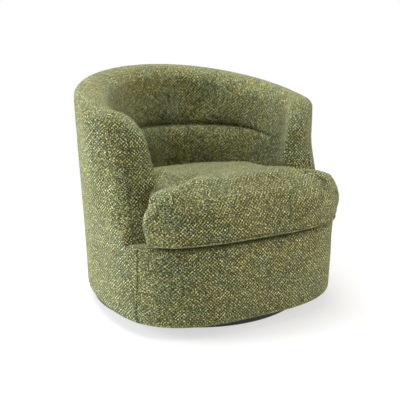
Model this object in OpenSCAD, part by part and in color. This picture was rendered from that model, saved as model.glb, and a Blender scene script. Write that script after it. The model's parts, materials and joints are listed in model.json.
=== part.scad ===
// Swivel barrel chair: round plinth, ball-bearing swivel, timber and plywood frame,
// sinuous-spring seat, padded barrel back with a tucked channel, loose T cushion.
// Millimetres, +Z up, origin on the floor under the swivel axis, the seat faces -Y.

/* [Body outline] */
// Half-width of the upholstered body at its lower edge
half_w = 400; // [360:5:440]
// Depth of the rounded back, from the widest line
back_depth = 463; // [420:1:500]
// Depth of the bowed front, from the widest line
front_depth = 372; // [350:1:400]
// Place of the widest line along the depth
widest_y = -44; // [-60:1:-20]
// Squareness of the front corners in plan, 2 is an ellipse
front_square = 3; // [2.6:0.1:3.4]
// Outward lean of the sides in degrees
side_lean = 2.1; // [0:0.1:3]
// Outward lean of the back in degrees
back_lean = 1.4; // [0:0.1:3]
// Height of the cover's lower edge over the floor
skirt_z = 35; // [34:1:40]
// Top of the front panel
base_top = 286; // [275:1:292]

/* [Rim and arms] */
// Height of the rim at the middle of the back
rim_z = 765; // [720:1:800]
// Fall of the rim towards the arms in degrees
rim_fall = 11.6; // [8:0.1:13]
// Radius where the rim turns down into the arm front, seen from the side
rim_turn = 46; // [30:1:60]
// Half-width over the arm fronts
arm_half_w = 366; // [350:1:380]
// Front of the arms at their tops
arm_y = -152; // [-175:1:-140]
// Forward sweep of the arm fronts down to the front panel
arm_sweep = 108; // [80:1:120]
// Forward run of the front seams from the panel's top down to its foot
foot_sweep = 24; // [0:1:30]
// Height over which the arm fronts sweep forward
sweep_h = 250; // [200:1:280]
// Thickness of the padded wall at the rim
wall_t = 118; // [105:1:125]

/* [Upholstery] */
// Thickness of a cover with its wadding
cover_t = 8; // [5:0.5:9]
// Thickness of the bent board behind the outside cover
board_t = 4; // [3:0.5:6]
// Gap between pieces that are glued or stapled together
fit_gap = 0.4; // [0.3:0.05:0.8]
// Depth of the sewn channel across the inside back
channel_depth = 17; // [8:1:24]
// Height of the channel over the floor
channel_z = 545; // [520:1:570]
// Swell of the lower back pad under the channel
lumbar = 20; // [8:1:24]
// Half-width of the inside back between its upright seams
back_seam_x = 192; // [170:1:215]
// Gap between two panels along a seam
seam_w = 0.8; // [0.5:0.1:0.9]

/* [Seat] */
// Height of the seat deck at its front over the top of the front panel
deck_rise = 10; // [8:1:16]
// Fall of the deck to the back in degrees
deck_pitch = 5; // [4:0.25:5.5]
// Thickness of the deck pad
deck_t = 20; // [12:1:28]
// Diameter of the spring wire
wire_d = 3.8; // [3.2:0.1:4.4]
// Number of sinuous springs
springs = 5; // [4:1:6]
// Half-width of a spring's wave
wave_w = 24; // [18:1:28]
// Thickness of the seat cushion at its front edge
cushion_t = 168; // [150:1:180]
// Loss of cushion thickness towards the back
cushion_wedge = 36; // [10:1:50]
// Crown of the cushion over its edges
cushion_crown = 22; // [10:1:30]
// Half-width of the cushion over its front wings
wing_x = 352; // [330:1:362]
// Overhang of the cushion in front of the front panel
overhang = 24; // [10:1:30]
// Diameter of the cushion's welt
welt_d = 7; // [5:0.5:9]

/* [Frame] */
// Thickness of the plywood rings
ring_t = 14; // [12:1:18]
// Width of the plywood rings
ring_w = 66; // [60:1:76]
// Thickness of the seat ring and the top rail
rail_t = 18; // [15:1:22]
// Radial depth of an upright
post_d = 38; // [30:1:42]
// Width of an upright
post_w = 46; // [36:1:60]
// Thickness of the bent panel behind the front cover
panel_t = 9; // [6:1:12]
// Height of the cross beams
beam_h = 36; // [28:1:50]
// Width of the cross beams
beam_w = 64; // [50:1:80]
// Half the distance between the cross beams
beam_x = 112; // [104:1:125]

/* [Swivel] */
// Diameter of the plinth
plinth_d = 720; // [640:5:730]
// Thickness of the plinth board
plinth_t = 18; // [15:1:22]
// Height of the edge strip under the plinth board
strip_h = 7; // [5:1:12]
// Width of the edge strip
strip_w = 34; // [24:1:50]
// Height of a glide
glide_h = 5; // [4:0.5:8]
// Diameter of a glide
glide_d = 28; // [20:1:32]
// Number of glides
glides = 6; // [4:1:8]
// Side of the square swivel plates
plate_w = 300; // [280:5:330]
// Thickness of the swivel plates
plate_t = 3; // [2.5:0.5:4]
// Radius of the ball track
track_r = 100; // [80:1:110]
// Diameter of a bearing ball
ball_d = 10; // [8:0.5:12]
// Number of bearing balls
balls = 24; // [16:2:28]
// Radial clearance of the ball grooves
ball_gap = 0.3; // [0.3:0.05:0.5]
// Radius of the hollow centre rivet
rivet_r = 26; // [20:1:32]
// Diameter of the plate bolts
bolt_d = 8; // [6:1:10]

/* [Hidden] */

cloth = [0.42, 0.43, 0.27];
black = [0.05, 0.05, 0.055];
timber = [0.76, 0.62, 0.42];
ply = [0.82, 0.70, 0.50];
steel = [0.62, 0.63, 0.65];
foam = [0.93, 0.90, 0.80];

// Outline of the body
function sgn_pow(v, e) = sign(v) * pow(abs(v), e);
function smooth(t) = let (u = min(max(t, 0), 1)) u * u * (3 - 2 * u);
function side_at(z) = half_w + (z - skirt_z) * tan(side_lean);
function back_at(z) = back_depth + (z - skirt_z) * tan(back_lean);

// Closed plan of the base at one height, drawn in by inset
function base_plan(z, inset, n = 96) = [for (i = [0:n - 1])
    let (t = 360 * i / n,
         a = side_at(z) - inset,
         back = sin(t) >= 0,
         b = (back ? back_at(z) : front_depth) - inset,
         e = 2 / (back ? 2 : front_square))
    [a * sgn_pow(cos(t), e), widest_y + b * sgn_pow(sin(t), e)]];

// Half-width of the base plan at a depth in front of the widest line
function base_x(z, y) =
    side_at(z) * pow(1 - pow((widest_y - y) / front_depth, front_square), 1 / front_square);

// Front edge of the arms: upright at the top, swept forward to the front panel
function arm_front(z) = arm_y - arm_sweep * pow(min(max((base_top + sweep_h - z) / sweep_h, 0), 1), 1.4)
    - foot_sweep * smooth((base_top - z) / (base_top - skirt_z));
function arm_x(z) = let (s = smooth((z - base_top) / 150))
    (1 - s) * base_x(z, arm_front(z)) + s * arm_half_w;

// Half outline of the wall: s = 0 at the middle of the back, 1 at the arm front
back_share = 0.64;
function wall_pt(z, s, inset = 0, side = 1) =
    let (y1 = arm_front(z), x1 = arm_x(z), a = side_at(z),
         up = smooth((z - base_top) / 150),
         e = 3 - 1.3 * up)
    abs(s) <= back_share
        ? let (t = 90 * abs(s) / back_share)
            [side * (a - inset) * sin(t), widest_y + (back_at(z) - inset) * cos(t)]
        : let (t = (abs(s) - back_share) / (1 - back_share))
            [side * (a - (a - x1) * pow(t, e) - inset), widest_y - (widest_y - y1) * t];
function wall_x(z, y) = let (a = side_at(z), t = max((widest_y - y) / (widest_y - arm_front(z)), 0))
    a - (a - arm_x(z)) * pow(t, 3 - 1.3 * smooth((z - base_top) / 150));
function wall3(z, s, inset = 0) = let (p = wall_pt(z, s, inset, s < 0 ? -1 : 1)) [p[0], p[1], z];

// Rim height over a place along the depth, turned down at the arm front
function rim_at(y) = rim_z - (widest_y + back_at(rim_z) - y) * tan(rim_fall);
function rim_turned(y) = let (t = min(max((arm_y + rim_turn - y) / rim_turn, 0), 1))
    rim_at(y) - rim_turn * (1 - sqrt(1 - t * t * 0.96));

// Solids built from grids and rings of points
// a is the outer skin and b the inner one; rows run along the body, columns up it
module slab(a, b) {
    nu = len(a);
    nv = len(a[0]);
    skin = nu * nv;
    function ia(i, j) = i * nv + j;
    function ib(i, j) = skin + i * nv + j;
    points = concat([for (r = a) for (p = r) p], [for (r = b) for (p = r) p]);
    faces = concat(
        [for (i = [0:nu - 2]) for (j = [0:nv - 2]) each [
            [ia(i, j), ia(i + 1, j + 1), ia(i, j + 1)], [ia(i, j), ia(i + 1, j), ia(i + 1, j + 1)],
            [ib(i, j), ib(i + 1, j + 1), ib(i + 1, j)], [ib(i, j), ib(i, j + 1), ib(i + 1, j + 1)]]],
        [for (i = [0:nu - 2]) each [
            [ia(i, 0), ib(i + 1, 0), ia(i + 1, 0)], [ia(i, 0), ib(i, 0), ib(i + 1, 0)],
            [ia(i + 1, nv - 1), ib(i, nv - 1), ia(i, nv - 1)],
            [ia(i + 1, nv - 1), ib(i + 1, nv - 1), ib(i, nv - 1)]]],
        [for (j = [0:nv - 2]) each [
            [ia(0, j + 1), ib(0, j), ia(0, j)], [ia(0, j + 1), ib(0, j + 1), ib(0, j)],
            [ia(nu - 1, j), ib(nu - 1, j), ia(nu - 1, j + 1)],
            [ib(nu - 1, j), ib(nu - 1, j + 1), ia(nu - 1, j + 1)]]]);
    polyhedron(points, faces, convexity = 8);
}

// Closed skin from rings stacked between two poles; rings run anticlockwise seen from above
module stacked(rings, low, high) {
    n = len(rings[0]);
    m = len(rings);
    points = concat([for (r = rings) for (p = r) p], [low, high]);
    faces = concat(
        [for (k = [0:m - 2]) for (i = [0:n - 1]) let (i2 = (i + 1) % n) each [
            [k * n + i, (k + 1) * n + i, (k + 1) * n + i2],
            [k * n + i, (k + 1) * n + i2, k * n + i2]]],
        [for (i = [0:n - 1]) [m * n, i, (i + 1) % n]],
        [for (i = [0:n - 1]) [m * n + 1, (m - 1) * n + (i + 1) % n, (m - 1) * n + i]]);
    polyhedron(points, faces, convexity = 4);
}

// Closed skin from rings whose first half faces their second half; the ends close straight across
module bridged(rings) {
    n = len(rings[0]);
    m = len(rings);
    points = [for (r = rings) for (p = r) p];
    faces = concat(
        [for (k = [0:m - 2]) for (i = [0:n - 1]) let (i2 = (i + 1) % n) each [
            [k * n + i, (k + 1) * n + i, (k + 1) * n + i2],
            [k * n + i, (k + 1) * n + i2, k * n + i2]]],
        [for (i = [0:n / 2 - 2]) let (a = n - 1 - i, q = (m - 1) * n) each [
            [i, i + 1, a], [i + 1, a - 1, a],
            [q + i, q + a, q + i + 1], [q + i + 1, q + a, q + a - 1]]]);
    polyhedron(points, faces, convexity = 6);
}

// Round tube along a path, open or closed; the section lies square to the run
module tube(path, r, sides = 6, closed = false) {
    n = len(path);
    function dir(i) = let (
            p = closed ? path[(i + n - 1) % n] : path[max(i - 1, 0)],
            q = closed ? path[(i + 1) % n] : path[min(i + 1, n - 1)])
        (q - p) / norm(q - p);
    ring = [for (i = [0:n - 1])
        let (d = dir(i), side = cross(d, [0, 0, 1]), u = side / norm(side), v = cross(u, d))
        for (k = [0:sides - 1]) path[i] + r * (u * cos(360 * k / sides) + v * sin(360 * k / sides))];
    body = [for (i = [0:(closed ? n - 1 : n - 2)]) for (k = [0:sides - 1])
        let (j = (i + 1) % n, k2 = (k + 1) % sides) each [
            [i * sides + k, j * sides + k2, j * sides + k],
            [i * sides + k, i * sides + k2, j * sides + k2]]];
    ends = closed ? [] : concat(
        [for (k = [1:sides - 2]) [0, k + 1, k]],
        [for (k = [1:sides - 2]) [(n - 1) * sides, (n - 1) * sides + k, (n - 1) * sides + k + 1]]);
    polyhedron(ring, concat(body, ends), convexity = 10);
}

// Swivel base
board_z = glide_h + strip_h;
plinth_top = board_z + plinth_t;
race_rise = 2.5;
race_open = 2;
race_half = 9;
ball_z = plinth_top + plate_t + race_rise + ball_d / 2;
upper_z = ball_z + ball_d / 2 + race_rise;
frame_z = upper_z + plate_t;
rivet_flange = 8;
rivet_play = 0.35;
lower_bolt_xy = plate_w / 2 - 18;
head_h = 5;
hole_play = 0.15;

module at_plinth_bolts() {
    for (x = [-1, 1]) for (y = [-1, 1]) translate([x * lower_bolt_xy, y * lower_bolt_xy, 0]) children();
}

module at_beam_bolts() {
    for (x = [-1, 1]) for (y = [-1, 1]) translate([x * beam_x, y * lower_bolt_xy, 0]) children();
}

module floor_glides() color(black) {
    for (k = [0:glides - 1]) rotate([0, 0, 360 * (k + 0.5) / glides])
        translate([plinth_d / 2 - strip_w / 2, 0, 0]) cylinder(h = glide_h, d = glide_d, $fn = 40);
}

module edge_strip() color(black) translate([0, 0, glide_h]) difference() {
    cylinder(h = strip_h, d = plinth_d, $fn = 160);
    translate([0, 0, -1]) cylinder(h = strip_h + 2, d = plinth_d - 2 * strip_w, $fn = 160);
}

module plinth_board() color(black) difference() {
    translate([0, 0, board_z]) cylinder(h = plinth_t, d = plinth_d, $fn = 160);
    translate([0, 0, board_z - 1])
        cylinder(h = plinth_t + 2, r = rivet_r + rivet_flange + 8, $fn = 60);
    at_plinth_bolts() translate([0, 0, board_z - 1])
        cylinder(h = plinth_t + 2, r = bolt_d / 2 + hole_play, $fn = 24);
}

module swivel_plate(hole_r) linear_extrude(plate_t) difference() {
    square(plate_w, center = true);
    for (x = [-1, 1]) for (y = [-1, 1])
        translate([x * plate_w / 2, y * plate_w / 2]) rotate(45) square(18, center = true);
    circle(r = hole_r, $fn = 60);
    children();
}

module race_groove() rotate_extrude($fn = 96) translate([track_r, 0])
    circle(r = ball_d / 2 + ball_gap, $fn = 32);

module race(z, h) difference() {
    translate([0, 0, z]) difference() {
        cylinder(h = h, r = track_r + race_half, $fn = 96);
        translate([0, 0, -1]) cylinder(h = h + 2, r = track_r - race_half, $fn = 96);
    }
    translate([0, 0, ball_z]) race_groove();
}

module lower_swivel_plate() color(steel) {
    translate([0, 0, plinth_top]) swivel_plate(rivet_r + hole_play)
        for (x = [-1, 1]) for (y = [-1, 1]) translate([x * lower_bolt_xy, y * lower_bolt_xy])
            circle(r = bolt_d / 2 + hole_play, $fn = 24);
    race(plinth_top + plate_t, ball_d / 2 + race_rise - race_open);
}

module upper_swivel_plate() color(steel) {
    translate([0, 0, upper_z]) swivel_plate(rivet_r + 1)
        for (x = [-1, 1]) for (y = [-1, 1]) translate([x * beam_x, y * lower_bolt_xy])
            circle(r = bolt_d / 2 + hole_play, $fn = 24);
    race(ball_z + race_open, ball_d / 2 + race_rise - race_open);
}

module plinth_bolts() color(steel) at_plinth_bolts() {
    translate([0, 0, board_z + 2]) cylinder(h = plinth_t - 2 + plate_t + 1, d = bolt_d, $fn = 24);
    translate([0, 0, plinth_top + plate_t]) cylinder(h = head_h, d = bolt_d * 1.85, $fn = 6);
}

module beam_bolts() color(steel) at_beam_bolts() {
    translate([0, 0, upper_z - 1]) cylinder(h = plate_t + 1 + beam_h * 0.7, d = bolt_d, $fn = 24);
    translate([0, 0, upper_z - head_h]) cylinder(h = head_h, d = bolt_d * 1.85, $fn = 6);
}

module centre_rivet() color(steel) difference() {
    union() {
        translate([0, 0, plinth_top - 2.5]) cylinder(h = 2.5, r = rivet_r + rivet_flange, $fn = 60);
        translate([0, 0, plinth_top - 1]) cylinder(h = frame_z - plinth_top + 2, r = rivet_r, $fn = 60);
        translate([0, 0, frame_z + rivet_play]) cylinder(h = 2.5, r = rivet_r + rivet_flange, $fn = 60);
    }
    translate([0, 0, plinth_top - 5]) cylinder(h = frame_z, r = rivet_r - 3, $fn = 60);
}

module bearing_balls() color(steel) for (k = [0:balls - 1])
    rotate([0, 0, 360 * k / balls]) translate([track_r, 0, ball_z]) sphere(d = ball_d, $fn = 32);

module ball_cage() color([0.75, 0.72, 0.55]) difference() {
    translate([0, 0, ball_z - race_open / 2]) difference() {
        cylinder(h = race_open, r = track_r + race_half - 1, $fn = 96);
        translate([0, 0, -1]) cylinder(h = race_open + 2, r = track_r - race_half + 1, $fn = 96);
    }
    for (k = [0:balls - 1]) rotate([0, 0, 360 * k / balls]) translate([track_r, 0, ball_z - race_open])
        cylinder(h = 2 * race_open, r = ball_d / 2 + ball_gap, $fn = 32);
}

// Half-size of the cutting blocks, well beyond the chair
beyond = 4 * half_w;

// Frame
deck_z = base_top + deck_rise;
hem_r = 18;
frame_inset = cover_t + board_t + 2 * fit_gap;
ring_inset = hem_r + 2 * fit_gap;
rail_drop = 48;
front_y = widest_y - front_depth;
deck_gap = 6;
arm_back_y = arm_y + 25;

// Levels at which the covers and the bent board take the wall's outline
low_level = 150;
arm_level = 360;
turn_level = 435;
high_level = 500;
wall_levels = [low_level, base_top, arm_level, turn_level];
function upper_level(rim) = max(rim - 90, high_level);

// Height at which a column of the wall takes its place along the wall
gauge_z = 600;

// Line on which the uprights stand, inside the wall at the foot and at the arms
function frame_pt(s, inset) = let (side = s < 0 ? -1 : 1,
        p = wall_pt(skirt_z + 25, abs(s), inset), q = wall_pt(gauge_z, abs(s), inset))
    [side * min(p[0], q[0]), abs(s) <= back_share ? min(p[1], q[1]) : q[1]];

// Level ring between two insets of the base plan
module plan_ring(z, inset, w) difference() {
    polygon(base_plan(z, inset));
    polygon(base_plan(z, inset + w));
}

module on_deck() translate([0, front_y, deck_z]) rotate([-deck_pitch, 0, 0])
    translate([0, -front_y, 0]) children();

// Everything under the sloping underside of the top rail
module below_rail(drop) translate([0, widest_y + back_at(rim_z), rim_z - drop]) rotate([rim_fall, 0, 0])
    translate([-beyond, -beyond, -beyond]) cube([2 * beyond, 1.5 * beyond, beyond]);

// Places of the uprights along one half of the wall
post_places = [0, 0.25, 0.5, 0.68, 0.82];

// Plan of one upright, grown by a play on every side and outwards by a reach
module post_plan(s, play = 0, reach = 0) {
    p = frame_pt(s, frame_inset + post_d / 2 + 2 * fit_gap);
    q = frame_pt(s + 0.01, frame_inset + post_d / 2 + 2 * fit_gap);
    w = post_w + 2 * play;
    d = post_d - 2 + 2 * play;
    translate(p) rotate(atan2(q[1] - p[1], q[0] - p[0])) translate([-w / 2, -d / 2]) square([w, d + reach]);
}

module all_posts(play = 0, reach = 0) for (s = post_places) {
    post_plan(s, play, reach);
    if (s > 0) mirror([1, 0]) post_plan(s, play, reach);
}

// Line of the straps inside the uprights, whose inner faces are planed to it
webbing_w = 50;
webbing_t = 1.6;
webbing_in = frame_inset + post_d + 3 * fit_gap;
strap_end = 0.86;
function strap_line(inset) = [for (i = [-16:16]) frame_pt(i / 16 * strap_end, inset)];

module uprights() color(timber) difference() {
    intersection() {
        translate([0, 0, frame_z]) linear_extrude(rim_z) all_posts();
        below_rail(rail_drop + rail_t + fit_gap);
    }
    linear_extrude(2 * rim_z) polygon(concat([frame_pt(-0.95, webbing_in - fit_gap)],
        strap_line(webbing_in - fit_gap), [frame_pt(0.95, webbing_in - fit_gap)]));
}

module cross_beams() color(timber) difference() {
    for (x = [-1, 1]) translate([x * beam_x - beam_w / 2, front_y + 40, frame_z])
        cube([beam_w, front_depth + back_depth - 110, beam_h]);
    at_beam_bolts() translate([0, 0, frame_z - 1])
        cylinder(h = beam_h * 0.7 + 1 + hole_play, r = bolt_d / 2 + hole_play, $fn = 24);
    translate([0, 0, frame_z - 1]) linear_extrude(beam_h + 2) all_posts(fit_gap);
}

module bottom_ring() color(ply) translate([0, 0, frame_z - ring_t]) linear_extrude(ring_t)
    plan_ring(skirt_z, ring_inset, ring_w);

module front_board() color(ply) intersection() {
    translate([0, 0, skirt_z + hem_r + 1]) linear_extrude(base_top)
        intersection() {
            plan_ring(skirt_z, cover_t + fit_gap, panel_t);
            translate([-half_w, front_y]) square([2 * half_w, arm_front(skirt_z) - front_y]);
        }
    on_deck() translate([-beyond, -beyond, -beyond - deck_t - deck_gap - rail_t])
        cube([2 * beyond, 2 * beyond, beyond]);
}

module seat_ring() color(ply) difference() {
    on_deck() translate([0, 0, -deck_t - deck_gap - rail_t]) linear_extrude(rail_t)
        plan_ring(deck_z - 60, ring_inset, ring_w);
    linear_extrude(rim_z) all_posts(fit_gap, ring_inset);
}

module barrel_board() {
    columns = [for (i = [-21:21]) i / 22 * (1 - seam_gap)];
    function top(s) = rim_turned(wall_pt(gauge_z, abs(s))[1]);
    function grid(inset) = [for (s = columns)
        [for (z = concat([skirt_z + hem_r + 1], wall_levels, [upper_level(top(s)), top(s) - 35]))
            wall3(z, s, inset)]];
    color(ply) slab(grid(cover_t + fit_gap), grid(cover_t + fit_gap + board_t));
}

module top_rail() {
    places = [for (i = [-24:24]) i / 24 * 0.86];
    function rail_z(s) = rim_at(wall_pt(650, abs(s))[1]) - rail_drop - rail_t;
    function edge(inset) = [for (s = places) let (p = wall3(rail_z(s), s, inset)) [p[0], p[1]]];
    outer = edge(frame_inset + 2 * fit_gap);
    inner = edge(frame_inset + post_d + 8);
    color(timber) intersection() {
        linear_extrude(rim_z)
            polygon(concat(outer, [for (i = [len(inner) - 1:-1:0]) inner[i]]));
        below_rail(rail_drop);
        translate([0, widest_y + back_at(rim_z), rim_z - rail_drop - rail_t]) rotate([rim_fall, 0, 0])
            translate([-beyond, -beyond, 0]) cube([2 * beyond, 1.5 * beyond, beyond]);
    }
}

// Springs and webbing
spring_pitch = 54;
spring_step = 82;
spring_seat = 16;
clip_w = 18;
strap_low = 330;
strap_step = 90;
straps = 3;
function inner_y(x, back) = let (a = side_at(deck_z - 60) - ring_inset - ring_w)
    back ? widest_y + (back_at(deck_z - 60) - ring_inset - ring_w) * sqrt(1 - pow(x / a, 2))
         : widest_y - (front_depth - ring_inset - ring_w)
             * pow(1 - pow(abs(x) / a, front_square), 1 / front_square);
function spring_x(k) = (k - (springs - 1) / 2) * spring_step;
function spring_from(k) = inner_y(spring_x(k), false) - spring_seat;
function spring_waves(k) = floor((inner_y(spring_x(k), true) + spring_seat - spring_from(k))
    / spring_pitch * 2) / 2;

// One wave is a bar, a bend, a bar and a bend; a bend's crown stands out by bend_rise
bend_rise = 5;
module sinuous_springs() color(steel) on_deck() for (k = [0:springs - 1]) {
    bends = spring_waves(k) * 2;
    lie = -deck_t - deck_gap / 2;
    tube([for (b = [0:bends - 1])
            let (side = b % 2 == 0 ? 1 : -1, x = spring_x(k), y = spring_from(k) + spring_pitch * (b + 0.5) / 2)
            each [[x - side * wave_w, y - 2, lie], [x + side * wave_w, y + 2, lie],
                  if (b < bends - 1) [x + side * (wave_w + bend_rise), y + spring_pitch / 4, lie]]],
        wire_d / 2, 5);
}

module spring_clips() color(steel) on_deck() for (k = [0:springs - 1]) for (end = [0, 1]) {
    y = spring_from(k) + spring_pitch * (end == 0 ? 0.25 : spring_waves(k) - 0.25);
    translate([spring_x(k), y, -deck_t - deck_gap]) difference() {
        translate([-clip_w / 2, -clip_w / 2, 0]) cube([clip_w, clip_w, deck_gap - 0.5]);
        translate([-clip_w, -spring_pitch * 0.14, -1]) cube([2 * clip_w, spring_pitch * 0.28, deck_gap]);
    }
}

module back_webbing() {
    function grid(inset, z) = [for (p = strap_line(inset)) [[p[0], p[1], z], [p[0], p[1], z + webbing_w]]];
    color([0.25, 0.25, 0.22]) for (k = [0:straps - 1]) let (z = strap_low + k * strap_step)
        slab(grid(webbing_in, z), grid(webbing_in + webbing_t, z));
}

// Upholstery
pad_back = webbing_in + webbing_t + 3 * fit_gap;
lip_w = 23;

module deck_pad() color(foam) on_deck() translate([0, 0, -deck_t]) linear_extrude(deck_t) {
    back = [for (i = [-20:20]) frame_pt(i / 20 * 0.85, pad_back)];
    reach = back[40][0];
    intersection() {
        polygon(concat(back, [[reach, front_y], [-reach, front_y]]));
        polygon(base_plan(deck_z - 60, lip_w + 3));
    }
}

// Section of the inner padding: distance in from the wall, and height
pads = 16;
function pad_depth(j, w) = [cover_t + 0.8, cover_t + 0.8, 1.5, 6, 22, 44, 74 - 8 * w, 100 - 12 * w,
    114 - 7 * w, wall_t - 1, wall_t - 5 + 3 * w, wall_t - channel_depth * (1 - w), wall_t - 3 + 2 * w,
    wall_t + lumbar * (1 - 0.85 * w), wall_t + lumbar * 0.8 * (1 - 0.85 * w), wall_t + 4, wall_t - 3][j];
function pad_height(j, w, rz, chz, dz) = [rz - 26, rz - 15.2, rz - 14.8, rz - 5, rz + 0.5, rz + 1,
    rz - 1 - 3 * w, rz - 16 - 24 * w, rz - 45 - 31 * w, chz + 48, chz + 16, chz, chz - 16, chz - 70,
    chz - 140, dz + 40, dz + 3][j];

// Hidden side of the padding: distance in from the wall, and drop under the rim
back_in = [frame_inset, frame_inset + 1, frame_inset + 2, 18, 30, 50, 60];
back_drop = [34, 36, 37, 38.5, 42, 44, 45, 50, 74];
function deck_at(y) = deck_z - (y - front_y) * tan(deck_pitch);
function pad_foot(s) = deck_at(wall_pt(base_top, abs(s), wall_t + lumbar)[1]);
function channel_at(w) = channel_z - 30 * smooth(w);

// Front face of the inner padding and its hidden side at one column
function pad_front(sf, w) = [for (j = [0:pads])
    let (s0 = sf(gauge_z), y0 = wall_pt(gauge_z, abs(s0))[1], rz = rim_turned(y0),
         z = pad_height(j, w, rz, channel_at(w), pad_foot(s0)), s = sf(z))
    wall3(z, s, pad_depth(j, w))];
function pad_rear(sf, w) = [for (j = [0:pads])
    let (s0 = sf(gauge_z), y0 = wall_pt(gauge_z, abs(s0))[1], rz = rim_turned(y0),
         z = j < len(back_drop) ? rz - back_drop[j] : pad_height(j, w, rz, channel_at(w), pad_foot(s0)),
         f = frame_pt(s0, pad_back), p = wall3(z, sf(z), j < len(back_in) ? back_in[j] : 0))
    j < len(back_in) ? p : [f[0], f[1], z]];

seam_s = back_share * asin(back_seam_x / (side_at(channel_z) - wall_t)) / 90;
seam_gap = seam_w / 2 / back_depth;

module inside_back() color(cloth) {
    columns = [for (i = [-9:9]) i / 9 * (seam_s - seam_gap)];
    slab([for (s = columns) let (f = function (z) s) pad_front(f, 0)],
         [for (s = columns) let (f = function (z) s) pad_rear(f, 0)]);
}

// Column of an arm: u = 0 at the upright seam, 1 just behind the arm front
function arm_s(u, z) = u < 0.6
    ? seam_s + seam_gap + (back_share - seam_s - seam_gap) * u / 0.6
    : back_share + (1 - back_share) * (u - 0.6) / 0.4 * (widest_y - arm_back_y) / (widest_y - arm_front(z));

module arm_pad(side) color(cloth) {
    columns = [for (i = [0:11]) i / 11];
    order = side > 0 ? columns : [for (i = [11:-1:0]) columns[i]];
    slab([for (u = order) let (f = function (z) side * arm_s(u, z)) pad_front(f, smooth(u * 1.1))],
         [for (u = order) let (f = function (z) side * arm_s(u, z)) pad_rear(f, smooth(u * 1.1))]);
}

module inside_arm_left() arm_pad(1);
module inside_arm_right() arm_pad(-1);

// Padded front of an arm, as pairs of points from its foot to its top: height, whether it counts
// from the rim, how far it follows the rim's turn, whether the outer side lies behind the cover,
// distance in of the outer and of the inner side
arm_top = rim_turned(arm_back_y);
arm_pairs = [
    [base_top + 1, 0, 0, 1, 0, wall_t + 3], [arm_level, 0, 0, 1, 0, wall_t + 3],
    [turn_level - 5, 0, 0, 1, 0, wall_t + 3], [high_level - 20, 0, 0, 1, 0, wall_t + 1],
    [high_level + 25, 0, 0, 1, 0, wall_t - 5], [-76, 1, 0, 1, 0, wall_t - 11],
    [-46, 1, 0.45, 1, 0, wall_t - 26], [-15.2, 1, 1, 1, 0, 73], [-14.8, 1, 1, 0, 1.5, 66],
    [-5, 1, 1, 0, 6, 56], [0.5, 1, 1, 0, 22, 44]];
// Rings from the back to the front: place, draw-in of the inner and of the outer side, distance
// in behind the cover, sink of the top
cover_back = cover_t + 2 * fit_gap;
arm_rings = [[0, 0, 0, frame_inset, 0], [0.45, 0.01, 0, frame_inset, 0], [0.8, 0.06, 0, frame_inset, 0],
    [0.93, 0.16, 0, cover_back, 1], [0.99, 0.3, 0, cover_back, 4], [1, 0.46, 0.08, cover_back, 9],
    [1.01, 0.6, 0.3, cover_back, 16]];

module arm_front_pad(side) {
    function point(ring, pair, inner) = let (
            yt = arm_back_y - seam_w + (arm_y - arm_back_y + seam_w) * min(ring[0], 1),
            sink = inner ? 1 : pair[3] == 1 ? 0 : pair[4] / 22,
            z = pair[1] == 0 ? pair[0]
                : arm_top + pair[0] + pair[2] * (rim_turned(yt) - arm_top - sink * ring[4]),
            y = arm_back_y - seam_w + (arm_front(z) - arm_back_y + seam_w) * ring[0],
            o = pair[3] == 1 ? ring[3] : pair[4],
            d = inner ? pair[5] - (pair[5] - o) * ring[1] : o + (pair[5] - o) * ring[2])
        [side * (wall_x(z, y) - d), y, z];
    loops = [for (ring = arm_rings) concat(
        [for (pair = arm_pairs) point(ring, pair, false)],
        [for (i = [len(arm_pairs) - 1:-1:0]) point(ring, arm_pairs[i], true)])];
    color(cloth) bridged(side > 0 ? loops
        : [for (loop = loops) [for (i = [len(loop) - 1:-1:0]) loop[i]]]);
}

module arm_front_left() arm_front_pad(1);
module arm_front_right() arm_front_pad(-1);

// Rounded lower edge of a cover: inset and height
function hem(k, t) = let (r = hem_r - t) [hem_r - r * sin(90 * k / 3), skirt_z + hem_r - r * cos(90 * k / 3)];

module outside_cover() {
    columns = [for (i = [-22:22]) i / 22 * (1 - seam_gap)];
    function top(s) = rim_turned(wall_pt(gauge_z, abs(s))[1]);
    function column(s, t) = concat(
        [for (k = [0:3]) let (h = hem(k, t)) wall3(h[1], s, h[0])],
        [for (z = wall_levels) wall3(z, s, t)],
        [wall3(upper_level(top(s)), s, t), wall3(top(s) - 34, s, t), wall3(top(s) - 16, s, t > 0 ? t : 1.5)]);
    color(cloth) slab([for (s = columns) column(s, 0)], [for (s = columns) column(s, cover_t)]);
}

// Bowed front between the two seams: u = -1 at the right-hand seam of the sitter
function front_pt(z, u, inset) = let (
        reach = (widest_y - arm_front(z) + seam_w) / (front_depth - inset),
        full = 90 - asin(pow(reach, front_square / 2)),
        f = full * sign(u) * pow(abs(u), 1.4))
    [(side_at(z) - inset) * sgn_pow(sin(f), 2 / front_square),
     widest_y - (front_depth - inset) * sgn_pow(cos(f), 2 / front_square), z];

module front_cover() {
    columns = [for (i = [-14:14]) -i / 14];
    function column(u, t) = concat(
        [for (k = [0:3]) let (h = hem(k, t)) front_pt(h[1], u, h[0])],
        [front_pt(160, u, t), front_pt(base_top - 12, u, t)],
        [front_pt(base_top - (t > 0 ? 12 : 3), u, t + (t > 0 ? 2 : 3)),
         front_pt(base_top - t, u, t > 0 ? 13 : 12), front_pt(base_top - t, u, lip_w)]);
    color(cloth) slab([for (u = columns) column(u, 0)], [for (u = columns) column(u, cover_t)]);
}

module dust_cover() color(black) translate([0, 0, frame_z - ring_t - 1.1]) linear_extrude(1) difference() {
    polygon(base_plan(skirt_z, ring_inset));
    circle(r = plate_w / 2 * sqrt(2) + 8, $fn = 96);
}

// Loose seat cushion
cushion_gap = 0.4;
side_play = 1.6;

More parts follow.
